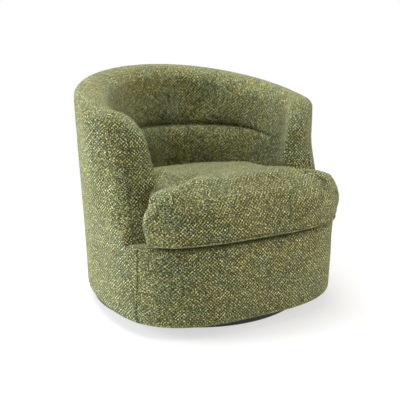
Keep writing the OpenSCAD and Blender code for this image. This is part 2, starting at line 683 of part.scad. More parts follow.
// Half-width over the arms at the cushion, and the neck of the cushion between them
arm_line = min(arm_half_w, base_x(base_top, arm_front(base_top)));
neck_x = arm_line - wall_t - 3 - side_play;
wing_r = 34;
wing_mid = [wing_x - wing_r, front_edge(wing_x) + 12];

// Half outline from the middle of the back round to the middle of the front
cushion_half = concat(
    [for (i = [0:9]) let (s = back_share * i / 9, w = smooth((s / back_share - 0.5) * 1.1))
        wall_pt(channel_z - 70, s, wall_t + lumbar * (1 - 0.85 * w) + side_play)],
    [for (y = [-90, -130, arm_y, arm_y - 50]) let (t = min((widest_y - y) / (widest_y - arm_y), 1))
        [side_at(channel_z - 70) - (side_at(channel_z - 70) - arm_line) * pow(t, 1.7)
            - wall_t - 3 - side_play, y]],
    [[neck_x, arm_front(base_top) + 14], [neck_x + 5, arm_front(base_top) - 6],
     [neck_x + 22, arm_front(base_top) - 20]],
    [for (a = [66, 40, 15, -10, -32]) wing_mid + wing_r * [cos(a), sin(a)]],
    [for (x = [320, 290, 250, 205, 155, 105, 50, 0]) [x, front_edge(x)]]);
function front_edge(x) = widest_y - (front_depth + overhang)
    * pow(1 - pow(x / (side_at(base_top) + overhang), front_square), 1 / front_square);
cushion_plan = concat(
    [for (i = [len(cushion_half) - 1:-1:0]) cushion_half[i]],
    [for (i = [1:len(cushion_half) - 2]) [-cushion_half[i][0], cushion_half[i][1]]]);
cushion_mid = [0, -190];

// Outline drawn in square to its edge by a distance, then shrunk about the middle
function drawn_in(d, k) = let (n = len(cushion_plan)) [for (i = [0:n - 1])
    let (v = cushion_plan[(i + 1) % n] - cushion_plan[(i + n - 1) % n],
         q = cushion_plan[i] + d * [-v[1], v[0]] / norm(v)) cushion_mid + (q - cushion_mid) * k];
function cushion_thick(y) = cushion_t
    - cushion_wedge * smooth((y - front_y) / (front_depth + back_depth) * 0.8);
function under(y) = deck_at(y) + cushion_gap;

module cushion_form() {
    // each row: inset, shrink, share of the thickness, share of the crown
    rows = [[9, 0.55, 0, 0], [9, 0.9, 0, 0], [6.5, 1, 0.012, 0], [5.6, 1, 0.05, 0], [5.6, 1, 0.118, 0],
        [0.5, 1, 0.16, 0], [0, 1, 0.5, 0], [2, 1, 0.76, 0], [8, 1, 0.9, 0], [18, 1, 0.98, 0.08],
        [20, 0.94, 1, 0.34], [20, 0.78, 1, 0.74], [20, 0.55, 1, 0.94], [20, 0.28, 1, 1]];
    stacked([for (r = rows) [for (p = drawn_in(r[0], r[1]))
            [p[0], p[1], under(p[1]) + r[2] * cushion_thick(p[1]) + r[3] * cushion_crown]]],
        [0, cushion_mid[1], under(cushion_mid[1])],
        [0, cushion_mid[1], under(cushion_mid[1]) + cushion_thick(cushion_mid[1]) + cushion_crown]);
}

// Foam block inside the cover, grown by a gap for the hollow that holds it
wrap_t = 22;
core_half = 290;
module core_block(grow) on_deck() translate([0, 0, wrap_t - grow])
    linear_extrude(cushion_t - cushion_wedge - 2 * wrap_t + 2 * grow) intersection() {
        polygon(drawn_in(wrap_t - grow, 1));
        square([2 * (core_half + grow), 4 * back_depth], center = true);
    }

module cushion_cover() color(cloth) difference() {
    cushion_form();
    core_block(fit_gap);
}

module cushion_core() color(foam) core_block(0);

module cushion_welt() color(cloth) {
    r = welt_d / 2;
    path = [for (p = drawn_in(1.6, 1)) [p[0], p[1], under(p[1]) + 0.084 * cushion_thick(p[1])]];
    tube(path, r, 6, true);
}

floor_glides();
edge_strip();
plinth_board();
lower_swivel_plate();
plinth_bolts();
centre_rivet();
bearing_balls();
ball_cage();
upper_swivel_plate();
beam_bolts();
cross_beams();
bottom_ring();
front_board();
barrel_board();
uprights();
seat_ring();
top_rail();
sinuous_springs();
spring_clips();
back_webbing();
deck_pad();
inside_back();
inside_arm_left();
inside_arm_right();
arm_front_left();
arm_front_right();
outside_cover();
front_cover();
dust_cover();
cushion_cover();
cushion_core();
cushion_welt();
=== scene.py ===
import json
import math

import bmesh
import bpy
import numpy as np
from mathutils import Matrix, Vector


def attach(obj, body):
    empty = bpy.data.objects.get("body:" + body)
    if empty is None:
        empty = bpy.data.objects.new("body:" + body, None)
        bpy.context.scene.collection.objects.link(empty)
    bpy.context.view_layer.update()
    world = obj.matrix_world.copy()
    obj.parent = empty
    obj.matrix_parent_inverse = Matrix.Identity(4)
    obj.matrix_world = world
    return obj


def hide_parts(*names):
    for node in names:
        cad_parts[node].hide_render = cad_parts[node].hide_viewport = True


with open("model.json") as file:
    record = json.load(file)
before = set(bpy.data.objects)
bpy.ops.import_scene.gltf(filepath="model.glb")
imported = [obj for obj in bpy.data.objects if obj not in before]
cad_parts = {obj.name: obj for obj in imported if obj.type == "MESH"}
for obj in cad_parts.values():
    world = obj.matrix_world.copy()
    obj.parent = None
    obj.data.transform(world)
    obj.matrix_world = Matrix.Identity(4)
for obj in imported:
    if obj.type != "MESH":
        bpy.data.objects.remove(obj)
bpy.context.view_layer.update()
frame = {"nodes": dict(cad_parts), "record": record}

# Driving sizes of the model's source, in millimetres
HALF_W, BACK_D, FRONT_D, WIDEST_Y, FRONT_SQ = 400.0, 463.0, 372.0, -44.0, 3.0
SIDE_LEAN, BACK_LEAN = math.tan(math.radians(2.1)), math.tan(math.radians(1.4))
SKIRT_Z, BASE_TOP = 35.0, 286.0
RIM_Z, RIM_FALL, RIM_TURN = 765.0, math.tan(math.radians(11.6)), 46.0
ARM_HALF_W, ARM_Y, ARM_SWEEP, FOOT_SWEEP, SWEEP_H, WALL_T = 366.0, -152.0, 108.0, 24.0, 250.0, 118.0
CHANNEL_D, CHANNEL_Z, LUMBAR, SEAM_X = 17.0, 545.0, 20.0, 192.0
DECK_Z, DECK_PITCH = 296.0, math.tan(math.radians(5))
CUSHION_T, CUSHION_WEDGE, CROWN = 168.0, 36.0, 22.0
WING_X, OVERHANG, HEM_R = 352.0, 24.0, 18.0
FRONT_Y = WIDEST_Y - FRONT_D
ARM_BACK_Y = ARM_Y + 25.0
SHARE = 0.64     # place along the wall where the round back passes into the side
READ_Z = 600.0   # height, clear of the arms' sweep, at which places along the rim are read
PLINTH_R, STRIP_W, GLIDE_H, BOARD_Z, PLINTH_TOP = 360.0, 34.0, 5.0, 12.0, 30.0


def smooth(t):
    u = np.clip(t, 0.0, 1.0)
    return u * u * (3 - 2 * u)


def side_at(z):
    return HALF_W + (z - SKIRT_Z) * SIDE_LEAN


def back_at(z):
    return BACK_D + (z - SKIRT_Z) * BACK_LEAN


def base_x(z, y):
    return side_at(z) * (1 - ((WIDEST_Y - y) / FRONT_D) ** FRONT_SQ) ** (1 / FRONT_SQ)


def arm_front(z):
    return (ARM_Y - ARM_SWEEP * np.clip((BASE_TOP + SWEEP_H - z) / SWEEP_H, 0, 1) ** 1.4
            - FOOT_SWEEP * smooth((BASE_TOP - z) / (BASE_TOP - SKIRT_Z)))


def settled(z):
    """0 up to the base's top, and 1 from 150 mm over it, where the arms stand in their own width."""
    return smooth((z - BASE_TOP) / 150)


def side_power(z):
    """Power of the side's line, from its widest place to the arm's front."""
    return 3 - 1.3 * settled(z)


def arm_x(z):
    s = settled(z)
    return (1 - s) * base_x(z, arm_front(z)) + s * ARM_HALF_W


def wall_x(z, y):
    a = side_at(z)
    t = np.maximum((WIDEST_Y - y) / (WIDEST_Y - arm_front(z)), 0)
    return a - (a - arm_x(z)) * t ** side_power(z)


def wall(z, s, inset=0.0):
    """Point of the wall at height z and place s (0 middle of the back, 1 or -1 an arm front)."""
    z, s, inset = np.broadcast_arrays(*(np.asarray(v, float) for v in (z, s, inset)))
    side, s = np.where(s < 0, -1.0, 1.0), np.abs(s)
    t = np.radians(90 * np.minimum(s, SHARE) / SHARE)
    v = np.maximum(s - SHARE, 0) / (1 - SHARE)
    a, y1 = side_at(z), arm_front(z)
    x = np.where(s <= SHARE, (a - inset) * np.sin(t), a - (a - arm_x(z)) * v ** side_power(z) - inset)
    y = np.where(s <= SHARE, WIDEST_Y + (back_at(z) - inset) * np.cos(t), WIDEST_Y - (WIDEST_Y - y1) * v)
    return np.stack([side * x, y, z], -1)


def rim_at(y):
    return RIM_Z - (WIDEST_Y + back_at(RIM_Z) - y) * RIM_FALL


def rim_turned(y):
    """Height of the rim, which turns down in a rounded corner at the arm's front."""
    t = np.clip((ARM_Y + RIM_TURN - y) / RIM_TURN, 0, 1)
    return rim_at(y) - RIM_TURN * (1 - np.sqrt(1 - t * t * 0.96))


def top_of(s):
    return rim_turned(wall(READ_Z, np.abs(s))[..., 1])


def deck_at(y):
    return DECK_Z - (y - FRONT_Y) * DECK_PITCH


def spline(points, n, sharp=0.5):
    """Catmull-Rom through rows of points, resampled evenly by length."""
    p = np.asarray(points, float)
    q = np.vstack([2 * p[0] - p[1], p, 2 * p[-1] - p[-2]])
    out = []
    for i in range(1, len(q) - 2):
        t = np.linspace(0, 1, 12, endpoint=False)[:, None]
        m1, m2 = (q[i + 1] - q[i - 1]) * sharp, (q[i + 2] - q[i]) * sharp
        out.append((2 * t ** 3 - 3 * t ** 2 + 1) * q[i] + (t ** 3 - 2 * t ** 2 + t) * m1
                   + (-2 * t ** 3 + 3 * t ** 2) * q[i + 1] + (t ** 3 - t ** 2) * m2)
    out = np.vstack(out + [q[-2][None]])
    d = np.concatenate([[0], np.cumsum(np.linalg.norm(np.diff(out, axis=0), axis=1))])
    u = np.linspace(0, d[-1], n)
    return np.stack([np.interp(u, d, out[:, k]) for k in range(p.shape[1])], -1)


def noise(p, scale, seed):
    """Smooth, seeded waves in space, about -1 to 1; p in millimetres."""
    rng = np.random.default_rng(seed)
    total = np.zeros(p.shape[:-1])
    for k in range(6):
        d = rng.normal(size=3)
        d /= np.linalg.norm(d)
        total += np.sin(p @ d * (2 * math.pi / scale) * rng.uniform(0.7, 1.4) + rng.uniform(0, 6.28))
    return total / 3


def uneven(p, *waves):
    """Waves added up, each given by its height, its length and its seed."""
    return sum(height * noise(p, scale, seed) for height, scale, seed in waves)


def make(name, verts, faces, body, replaced, shade=True):
    """A mesh from points in millimetres, on its body and in place of the solids that it stands for."""
    me = bpy.data.meshes.new(name)
    me.from_pydata([tuple(v) for v in np.asarray(verts, float) / 1000], [], [tuple(f) for f in faces])
    bm = bmesh.new()
    bm.from_mesh(me)
    bmesh.ops.recalc_face_normals(bm, faces=bm.faces)
    bm.to_mesh(me)
    bm.free()
    if shade:
        me.shade_smooth()
    ob = bpy.data.objects.new(name, me)
    bpy.context.scene.collection.objects.link(ob)
    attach(ob, body)
    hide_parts(*replaced)
    return ob


def shell(name, a, b, body, replaced):
    """Closed piece between two facing grids of points."""
    nu, nv = a.shape[:2]
    verts = np.concatenate([a.reshape(-1, 3), b.reshape(-1, 3)])
    base = nu * nv
    i, j = np.meshgrid(np.arange(nu - 1), np.arange(nv - 1), indexing="ij")
    k = (i * nv + j).ravel()
    faces = [(p, p + nv, p + nv + 1, p + 1) for p in k]
    faces += [(base + p, base + p + 1, base + p + nv + 1, base + p + nv) for p in k]
    for q in range(nu - 1):
        for r in (0, nv - 1):
            p = q * nv + r
            faces.append((p, p + nv, base + p + nv, base + p))
    for r in range(nv - 1):
        for q in (0, nu - 1):
            p = q * nv + r
            faces.append((p, p + 1, base + p + 1, base + p))
    return make(name, verts, faces, body, replaced)


# Materials

def tree_of(name):
    mat = bpy.data.materials.new(name)
    mat.use_nodes = True
    nt = mat.node_tree
    nt.nodes.clear()
    out = nt.nodes.new("ShaderNodeOutputMaterial")
    bsdf = nt.nodes.new("ShaderNodeBsdfPrincipled")
    nt.links.new(bsdf.outputs[0], out.inputs[0])
    coord = nt.nodes.new("ShaderNodeTexCoord").outputs["Object"]
    return mat, nt, bsdf, coord


def mapped(nt, coord, scale):
    m = nt.nodes.new("ShaderNodeMapping")
    m.inputs["Scale"].default_value = scale
    nt.links.new(coord, m.inputs["Vector"])
    return m.outputs[0]


def noise_tex(nt, coord, scale, detail=2.0, rough=0.5):
    n = nt.nodes.new("ShaderNodeTexNoise")
    n.inputs["Scale"].default_value = scale
    n.inputs["Detail"].default_value = detail
    n.inputs["Roughness"].default_value = rough
    nt.links.new(coord, n.inputs["Vector"])
    return n


def ramp(nt, value, stops, mode="LINEAR"):
    r = nt.nodes.new("ShaderNodeValToRGB")
    r.color_ramp.interpolation = mode
    while len(r.color_ramp.elements) < len(stops):
        r.color_ramp.elements.new(0.5)
    for e, (pos, col) in zip(r.color_ramp.elements, stops):
        e.position = pos
        e.color = (*col, 1) if len(col) == 3 else col
    nt.links.new(value, r.inputs["Fac"])
    return r.outputs["Color"]


def math_node(nt, op, a, b):
    m = nt.nodes.new("ShaderNodeMath")
    m.operation = op
    for k, v in enumerate((a, b)):
        if isinstance(v, (int, float)):
            m.inputs[k].default_value = v
        else:
            nt.links.new(v, m.inputs[k])
    return m.outputs[0]


def mix(nt, fac, a, b, mode="MIX"):
    m = nt.nodes.new("ShaderNodeMix")
    m.data_type = "RGBA"
    m.blend_type = mode
    for sock, v in ((m.inputs["Factor"], fac), (m.inputs["A"], a), (m.inputs["B"], b)):
        if isinstance(v, (int, float)):
            sock.default_value = v
        elif isinstance(v, tuple):
            sock.default_value = (*v, 1)
        else:
            nt.links.new(v, sock)
    return m.outputs["Result"]


def srgb(r, g, b):
    return tuple(((c / 255 + 0.055) / 1.055) ** 2.4 if c > 10 else c / 255 / 12.92 for c in (r, g, b))


# Colours of the single yarns, of their groups and of the whole cloth, each with its place on a scale
YARNS = [(0.00, srgb(12, 14, 3)), (0.20, srgb(52, 56, 20)), (0.36, srgb(106, 108, 54)),
         (0.50, srgb(80, 92, 66)), (0.60, srgb(170, 169, 108)), (0.73, srgb(128, 138, 110)),
         (0.82, srgb(240, 238, 198)), (0.96, srgb(150, 136, 66))]
GROUPS = [(0.0, srgb(66, 72, 26)), (0.3, srgb(118, 120, 56)), (0.5, srgb(96, 110, 78)),
          (0.68, srgb(156, 154, 88)), (0.86, srgb(130, 144, 108))]
TINTS = [(0.32, srgb(206, 220, 214)), (0.5, srgb(226, 226, 200)), (0.68, srgb(230, 222, 166))]
YARN_CELLS, GROUP_CELLS = 470, 190           # cells per metre
YARN_STRETCH, GROUP_STRETCH = 1.1, 1.3       # their lengths along the twill, in widths
WEAVE_PITCH, TWILL_PITCH = 0.0056, 0.0064    # metres between threads, and between the twill's lines
BEND, BEND_SHARE = 0.004, 0.25               # metres that the yarns wander, and the weave's share of it
# Directions of the cloth's diagonal: along the twill lines, across them, and into the cloth
TWILL = [Vector((0.5, -0.5, 0.7071)), Vector((0.5, -0.5, -0.7071)), Vector((0.7071, 0.7071, 0.0))]


def along(nt, coord, stretch):
    """Coordinates on the cloth's diagonals, drawn out along the twill lines."""
    join = nt.nodes.new("ShaderNodeCombineXYZ")
    for k, axis in enumerate(TWILL):
        dot = nt.nodes.new("ShaderNodeVectorMath")
        dot.operation = "DOT_PRODUCT"
        nt.links.new(coord, dot.inputs[0])
        dot.inputs[1].default_value = axis / (stretch if k == 0 else 1)
        nt.links.new(dot.outputs["Value"], join.inputs[k])
    return join.outputs[0]


def cells(nt, vector, scale):
    v = nt.nodes.new("ShaderNodeTexVoronoi")
    v.inputs["Scale"].default_value = scale
    nt.links.new(vector, v.inputs["Vector"])
    pick = nt.nodes.new("ShaderNodeSeparateColor")
    nt.links.new(v.outputs["Color"], pick.inputs[0])
    return v.outputs["Distance"], pick.outputs[0]


def spread(nt, value, low, high, to_low, to_high):
    r = nt.nodes.new("ShaderNodeMapRange")
    nt.links.new(value, r.inputs["Value"])
    for name, v in (("From Min", low), ("From Max", high), ("To Min", to_low), ("To Max", to_high)):
        r.inputs[name].default_value = v
    return r.outputs[0]


def wave_tex(nt, coord, axis, scale, distortion):
    wave = nt.nodes.new("ShaderNodeTexWave")
    wave.bands_direction = axis
    wave.inputs["Scale"].default_value = scale
    wave.inputs["Distortion"].default_value = distortion
    nt.links.new(coord, wave.inputs["Vector"])
    return wave


def bumped(nt, bsdf, height, distance, strength=1.0):
    bump = nt.nodes.new("ShaderNodeBump")
    bump.inputs["Strength"].default_value = strength
    bump.inputs["Distance"].default_value = distance
    nt.links.new(height, bump.inputs["Height"])
    nt.links.new(bump.outputs[0], bsdf.inputs["Normal"])


def basket(nt, coord, pitch):
    """Over and under of a plain weave, from -1 to 1, laid on the side that each surface faces."""
    normal = nt.nodes.new("ShaderNodeNewGeometry").outputs["Normal"]
    part = nt.nodes.new("ShaderNodeSeparateXYZ")
    nt.links.new(normal, part.inputs[0])
    place = nt.nodes.new("ShaderNodeSeparateXYZ")
    nt.links.new(coord, place.inputs[0])
    turns = [math_node(nt, "MULTIPLY", place.outputs[k], math.pi / pitch) for k in range(3)]
    waves = [math_node(nt, "SINE", turn, 0.0) for turn in turns]
    total = 0.0
    for k, (a, b) in enumerate(((1, 2), (0, 2), (0, 1))):
        face = math_node(nt, "POWER", math_node(nt, "ABSOLUTE", part.outputs[k], 0.0), 4.0)
        term = math_node(nt, "MULTIPLY", face, math_node(nt, "MULTIPLY", waves[a], waves[b]))
        total = math_node(nt, "ADD", total, term)
    return total


def mix_place(nt, share, a, b):
    """A place on the line from a to b; sockets 4 and 5 are the vectors of this node."""
    m = nt.nodes.new("ShaderNodeMix")
    m.data_type = "VECTOR"
    m.inputs[0].default_value = share
    nt.links.new(a, m.inputs[4])
    nt.links.new(b, m.inputs[5])
    return m.outputs[1]


def tweed(name, gain):
    """Speckled cloth: yarns in cells with painted shade between them, a plain weave over them in painted
    light and shade, and a faint twill.
    """
    mat, nt, bsdf, coord = tree_of(name)
    warp = noise_tex(nt, coord, 60, 1.0)
    bent = nt.nodes.new("ShaderNodeVectorMath")
    bent.operation = "MULTIPLY_ADD"
    nt.links.new(warp.outputs["Color"], bent.inputs[0])
    bent.inputs[1].default_value = (BEND, BEND, BEND)
    nt.links.new(coord, bent.inputs[2])
    lines = along(nt, bent.outputs[0], YARN_STRETCH)
    gap, tone = cells(nt, lines, YARN_CELLS)
    _, group_tone = cells(nt, along(nt, bent.outputs[0], GROUP_STRETCH), GROUP_CELLS)
    col = mix(nt, 0.2, ramp(nt, tone, YARNS, "CONSTANT"), ramp(nt, group_tone, GROUPS, "CONSTANT"))
    tint = ramp(nt, noise_tex(nt, coord, 15, 2.0, 0.6).outputs["Fac"], TINTS)
    col = mix(nt, 0.8, col, tint, "MULTIPLY")
    weave = basket(nt, mix_place(nt, BEND_SHARE, coord, bent.outputs[0]), WEAVE_PITCH)
    over = spread(nt, weave, -0.5, 0.5, 0.05, 2.05)
    # painted shade in the pits between the yarns and under the weave, and painted light on the threads that
    # lie over it
    pit = spread(nt, gap, 0.2, 0.75, 1.0, 0.42)
    pit_and_weave_shade = math_node(nt, "MULTIPLY", pit, over)
    shade = nt.nodes.new("ShaderNodeCombineColor")
    for k in range(3):
        nt.links.new(pit_and_weave_shade, shade.inputs[k])
    col = mix(nt, 0.95, col, shade.outputs[0], "MULTIPLY")
    # the twill's lines, stronger in some patches than in others
    wave = wave_tex(nt, lines, "Y", 2 * math.pi / 20 / TWILL_PITCH, 1.2)
    wave.inputs["Detail Scale"].default_value = 3.0
    line = ramp(nt, wave.outputs["Fac"], [(0.15, (0.35, 0.35, 0.35)), (0.8, (1.15, 1.15, 1.1))])
    patch = spread(nt, noise_tex(nt, coord, 11, 1.0).outputs["Fac"], 0.36, 0.62, 0.12, 0.7)
    col = mix(nt, 1.0, col, mix(nt, patch, (1.0, 1.0, 1.0), line), "MULTIPLY")
    level = nt.nodes.new("ShaderNodeHueSaturation")
    level.inputs["Value"].default_value = gain
    nt.links.new(col, level.inputs["Color"])
    nt.links.new(level.outputs[0], bsdf.inputs["Base Color"])
    fine = noise_tex(nt, coord, 900, 2.0)
    height = math_node(nt, "ADD", math_node(nt, "MULTIPLY", pit, math_node(nt, "ADD", 0.6, tone)),
                       math_node(nt, "MULTIPLY", fine.outputs["Fac"], 0.3))
    bumped(nt, bsdf, height, 0.0022, 0.7)
    bsdf.inputs["Roughness"].default_value = 0.95
    bsdf.inputs["Specular IOR Level"].default_value = 0.2
    bsdf.inputs["Sheen Weight"].default_value = 0.25
    bsdf.inputs["Sheen Roughness"].default_value = 0.6
    bsdf.inputs["Sheen Tint"].default_value = (0.85, 0.85, 0.62, 1)
    return mat


def grained(name, low, high, scale, rough, stretch=(1, 1, 1), metal=0.0, bump=0.0002):
    """Two tones mixed by stretched noise, with the same noise in the bump."""
    mat, nt, bsdf, coord = tree_of(name)
    grain = mapped(nt, coord, stretch)
    n = noise_tex(nt, grain, scale, 5.0, 0.6)
    fine = noise_tex(nt, grain, scale * 6, 2.0)
    fac = mix(nt, 0.35, n.outputs["Color"], fine.outputs["Color"])
    nt.links.new(ramp(nt, fac, [(0.3, low), (0.7, high)]), bsdf.inputs["Base Color"])
    gloss = spread(nt, n.outputs["Fac"], 0.0, 1.0, rough - 0.12, min(rough + 0.12, 1.0))
    nt.links.new(gloss, bsdf.inputs["Roughness"])
    bumped(nt, bsdf, fac, bump, 0.6)
    bsdf.inputs["Metallic"].default_value = metal
    return mat


def webbing_material():
    mat, nt, bsdf, coord = tree_of("webbing")
    wave = wave_tex(nt, coord, "Z", 130, 1.5)
    nt.links.new(ramp(nt, wave.outputs["Fac"], [(0.2, srgb(58, 56, 46)), (0.8, srgb(120, 116, 96))]),
                 bsdf.inputs["Base Color"])
    bsdf.inputs["Roughness"].default_value = 0.9
    bumped(nt, bsdf, wave.outputs["Fac"], 0.0006)
    return mat


TWEED = tweed("tweed", 1.3)
# Each slot's dark and light tone, its grains per metre, and what else sets it apart
GRAINS = {
    "black_stain": ((14, 14, 14), (26, 25, 24), 40, {"stretch": (1, 8, 1), "rough": 0.45}),
    "black_plastic": ((18, 18, 19), (30, 30, 31), 300, {"rough": 0.55}),
    "black_cloth": ((16, 16, 17), (38, 38, 40), 700, {"rough": 0.95, "bump": 0.0004}),
    "plywood": ((186, 152, 104), (222, 194, 148), 30, {"stretch": (1, 14, 14), "rough": 0.6}),
    "hardwood": ((150, 112, 70), (196, 158, 108), 26, {"stretch": (14, 14, 1), "rough": 0.55}),
    "zinc_steel": ((150, 152, 156), (196, 198, 202), 120, {"rough": 0.38, "metal": 1.0}),
    "bearing_steel": ((186, 188, 192), (214, 216, 220), 200, {"rough": 0.2, "metal": 1.0}),
    "spring_wire": ((96, 97, 98), (140, 140, 138), 160, {"stretch": (1, 9, 1), "rough": 0.4, "metal": 1.0}),
    "cage_plastic": ((196, 188, 150), (216, 208, 172), 220, {"rough": 0.5}),
    "foam": ((218, 208, 176), (238, 232, 208), 420, {"rough": 0.95, "bump": 0.0008}),
}
MATS = {slot: grained(slot, srgb(*low), srgb(*high), scale, **rest)
        for slot, (low, high, scale, rest) in GRAINS.items()}
MATS["webbing"] = webbing_material()
SLOTS = {s["node"]: s["material_slot"] for s in frame["record"]["subparts"]}


def dress(ob, mat=TWEED):
    ob.data.materials.clear()
    ob.data.materials.append(mat)
    return ob


for node, solid in frame["nodes"].items():
    dress(solid, MATS.get(SLOTS[node], TWEED))


# Upholstery, each piece a closed shell of its own

def normals_of(grid):
    """Normals averaged over their neighbours, to hold where columns draw together to a point."""
    reach = 3
    n = np.cross(np.gradient(grid, axis=0), np.gradient(grid, axis=1))
    for axis in (0, 1):
        ends = [(reach, reach) if k == axis else (0, 0) for k in range(3)]
        wide = np.pad(n, ends, "edge")
        n = sum(np.take(wide, range(k, k + n.shape[axis]), axis=axis) for k in range(2 * reach + 1))
    return n / np.maximum(np.linalg.norm(n, axis=2, keepdims=True), 1e-9)


def seam_turn(q, depth):
    """How far a surface sinks at a seam: q is 1 or more away from it and 0 on it."""
    return depth * (1 - np.sqrt(1 - (1 - np.clip(q, 0, 1)) ** 2 * 0.98))


def upholster(name, grid, thick, replaced):
    """Closed shell of cloth and wadding. Its hidden side lies a thickness behind the seen one:
    outwards for the padding, which faces the middle of the seat, and inwards for the covers,
    whose thickness is negative."""
    n = normals_of(grid)
    middle = np.array([0, -60, 480])
    facing = np.sign(np.sum(n * (middle - grid)))
    ob = dress(shell(name, grid, grid - n * thick * facing, "chair", replaced))
    return ob


END_Y = ARM_Y + RIM_TURN     # where the arms' fronts begin, behind the rim's turned corner
FRONT_SEAM_Y = -298.0        # the sewn seam at each end of the front panel
COVER_DROP = 15.4            # from the rim down to the outside cover's edge
SEAM_SHARE = 0.9             # place of the sewn seam along half the front panel


def hem_arc():
    """Distances in and heights of the rounded lower edge of a cover."""
    turn = np.radians(np.linspace(112, 0, 11))
    return HEM_R - HEM_R * np.cos(turn), SKIRT_Z + HEM_R - HEM_R * np.sin(turn)


def hem_gathers(z, phase):
    """Small gathers just over a cover's lower edge."""
    return 0.5 * np.sin(phase) * np.exp(-((z - 52) / 26) ** 2)


def round_at(z):
    """Radius of the arm front's outer corner: none at the foot, full at the top."""
    return 32 * smooth((z - 290) / 60) + 10 * smooth((z - 455) / 130)


def face_y(z):
    """Front of the arm: the swept line, a little fuller over the cushion, turned back at the top."""
    y = arm_front(z) - 20 * smooth((z - 395) / 60)
    t, power = np.clip((z - 546) / 108, 0, 1), 2.2
    return END_Y + (y - END_Y) * (1 - t ** power) ** (1 / power)


def corner_at(d, z):
    """Share of the outer corner's turn left at a distance in: slanted below, round at the top."""
    t = np.clip(d / np.maximum(round_at(z), 3.0), 0, 1)
    flat = 0.45 * (1 - smooth((z - 420) / 110))
    return (1 - flat) * np.sqrt(1 - (1 - t) ** 2) + flat * t


def cover_end(z):
    """Where the outside cover ends and the arm's front begins."""
    return np.where(z < BASE_TOP, arm_front(z), np.minimum(face_y(z) + round_at(z), END_Y))


def outer_cover():
    """Cover round the sides and back, in columns from the hem to under the rim."""
    even = np.linspace(-1, 1, 321)
    low_d, low_z = hem_arc()
    up = np.linspace(0, 1, 100)[1:]
    grid = []
    for sv in np.sign(even) * np.abs(even) ** 0.96:
        v = max(abs(sv) - SHARE, 0) / (1 - SHARE)
        rim = float(rim_at(WIDEST_Y - (WIDEST_Y - END_Y) * v)) if v > 0 else float(top_of(sv))
        z1 = rim - COVER_DROP
        z = np.concatenate([low_z, low_z[-1] + up * (z1 - low_z[-1])])
        d = np.concatenate([low_d, np.zeros(len(up))]) + seam_turn((z1 - z) / 3.0, 0.6)
        share = SHARE + (1 - SHARE) * v * (WIDEST_Y - cover_end(z)) / (WIDEST_Y - arm_front(z))
        p = wall(z, np.sign(sv) * (share if v > 0 else abs(sv)), d)
        out = p[:, :2] / np.linalg.norm(p[:, :2], axis=1)[:, None]
        body = smooth((z - 50) / 90) * smooth((z1 - z) / 50) * smooth((1 - abs(sv)) / 0.06)
        soft = uneven(p, (1.3, 240, 3), (0.6, 95, 4)) * body
        gather = hem_gathers(z, sv * 190) * smooth((1 - abs(sv)) / 0.02)
        p[:, :2] += (soft + gather)[:, None] * out
        grid.append(p)
    return upholster("outside_cover_cloth", np.array(grid), -6.0, ("outside_cover",))


def front_angle(y, inset):
    """Angle round the front at which its outline reaches a given y."""
    reach = (WIDEST_Y - y) / (FRONT_D - inset)
    return 90 - np.degrees(np.arcsin(np.minimum(reach, 1) ** (FRONT_SQ / 2)))


def front_point(z, u, inset):
    """Point of the front panel: u is SEAM_SHARE at the sewn seam and 1 at the outside cover."""
    seam = np.minimum(FRONT_SEAM_Y + 14 * smooth((BASE_TOP - z) / 239), arm_front(z) - 3)
    at_seam, at_end = front_angle(seam, inset), front_angle(arm_front(z) - 0.5, inset)
    w = abs(u)
    full = at_seam * min(w / SEAM_SHARE, 1) ** 1.25
    full = full + (at_end - at_seam) * max(w - SEAM_SHARE, 0) / (1 - SEAM_SHARE)
    f = np.radians(full * np.sign(u))
    power = 2 / FRONT_SQ
    return np.stack([(side_at(z) - inset) * np.sign(np.sin(f)) * np.abs(np.sin(f)) ** power,
                     WIDEST_Y - (FRONT_D - inset) * np.cos(f) ** power, z + 0 * f], -1)


def front_panel():
    """Cover of the bowed front, with a sewn seam pressed in near each end."""
    roll, straight = 13, 40
    low_d, low_z = hem_arc()
    up = np.radians(np.linspace(0, 90, 12))[1:]
    # the rolled top runs on into a flange under the cushion
    z = np.concatenate([low_z, np.linspace(58, BASE_TOP - roll, straight),
                        BASE_TOP - roll + roll * np.sin(up), BASE_TOP - np.array([0, 0.5, 2.5, 5])])
    d = np.concatenate([low_d, np.zeros(straight), roll - roll * np.cos(up), [19, 26, 40, 58]])
    # the columns stand closest at the sewn seam
    half = np.concatenate([np.linspace(0, SEAM_SHARE - 0.012, 112),
                           SEAM_SHARE + np.linspace(-0.009, 0.009, 9),
                           np.linspace(SEAM_SHARE + 0.018, 1, 8)])
    seam_deep, seam_wide = 6.0, 0.0040
    grid = []
    for uv in np.concatenate([-half[:0:-1], half]):
        off = abs(uv) - SEAM_SHARE
        inner = smooth((1 - abs(uv)) / 0.02)
        p = front_point(z, uv, d + seam_deep * np.exp(-(off / seam_wide) ** 2))
        body = smooth((z - 50) / 80) * smooth((BASE_TOP - 10 - z) / 50) * inner * smooth(abs(off) / 0.03)
        p[:, 1] -= uneven(p, (1.3, 200, 8), (0.6, 90, 9)) * body
        p[:, 1] += hem_gathers(z, uv * 130) * inner
        # the flange's ends reach under the arms' fronts
        p[-4:, 1] += 12 * smooth((abs(uv) - 0.97) / 0.03)
        grid.append(p)
    return upholster("front_cover_cloth", np.array(grid), -5.5, ("front_cover",))


# Padding of the inside back and arms
ROWS = 104
# Its rounded top, as distance in and height from the rim's outer edge: at the back and at an arm
BACK_TOP = [(0.5, -15.2), (0.3, -12.2), (1.6, -8.2), (5.4, -4.0), (11.5, -1.2), (20, 0.4), (31, 1.2),
            (44, 1.2), (59, -0.8), (76, -5.5), (91, -15), (103, -30), (111.5, -52)]
ARM_TOP = [(0.5, -15.2), (1.5, -11.5), (5, -6.5), (11, -4), (20, -0.6), (31, 3), (44, 6.2),
           (57, 7.8), (71, 6.8), (84, 1.8), (95, -8), (103.5, -23), (108, -46)]


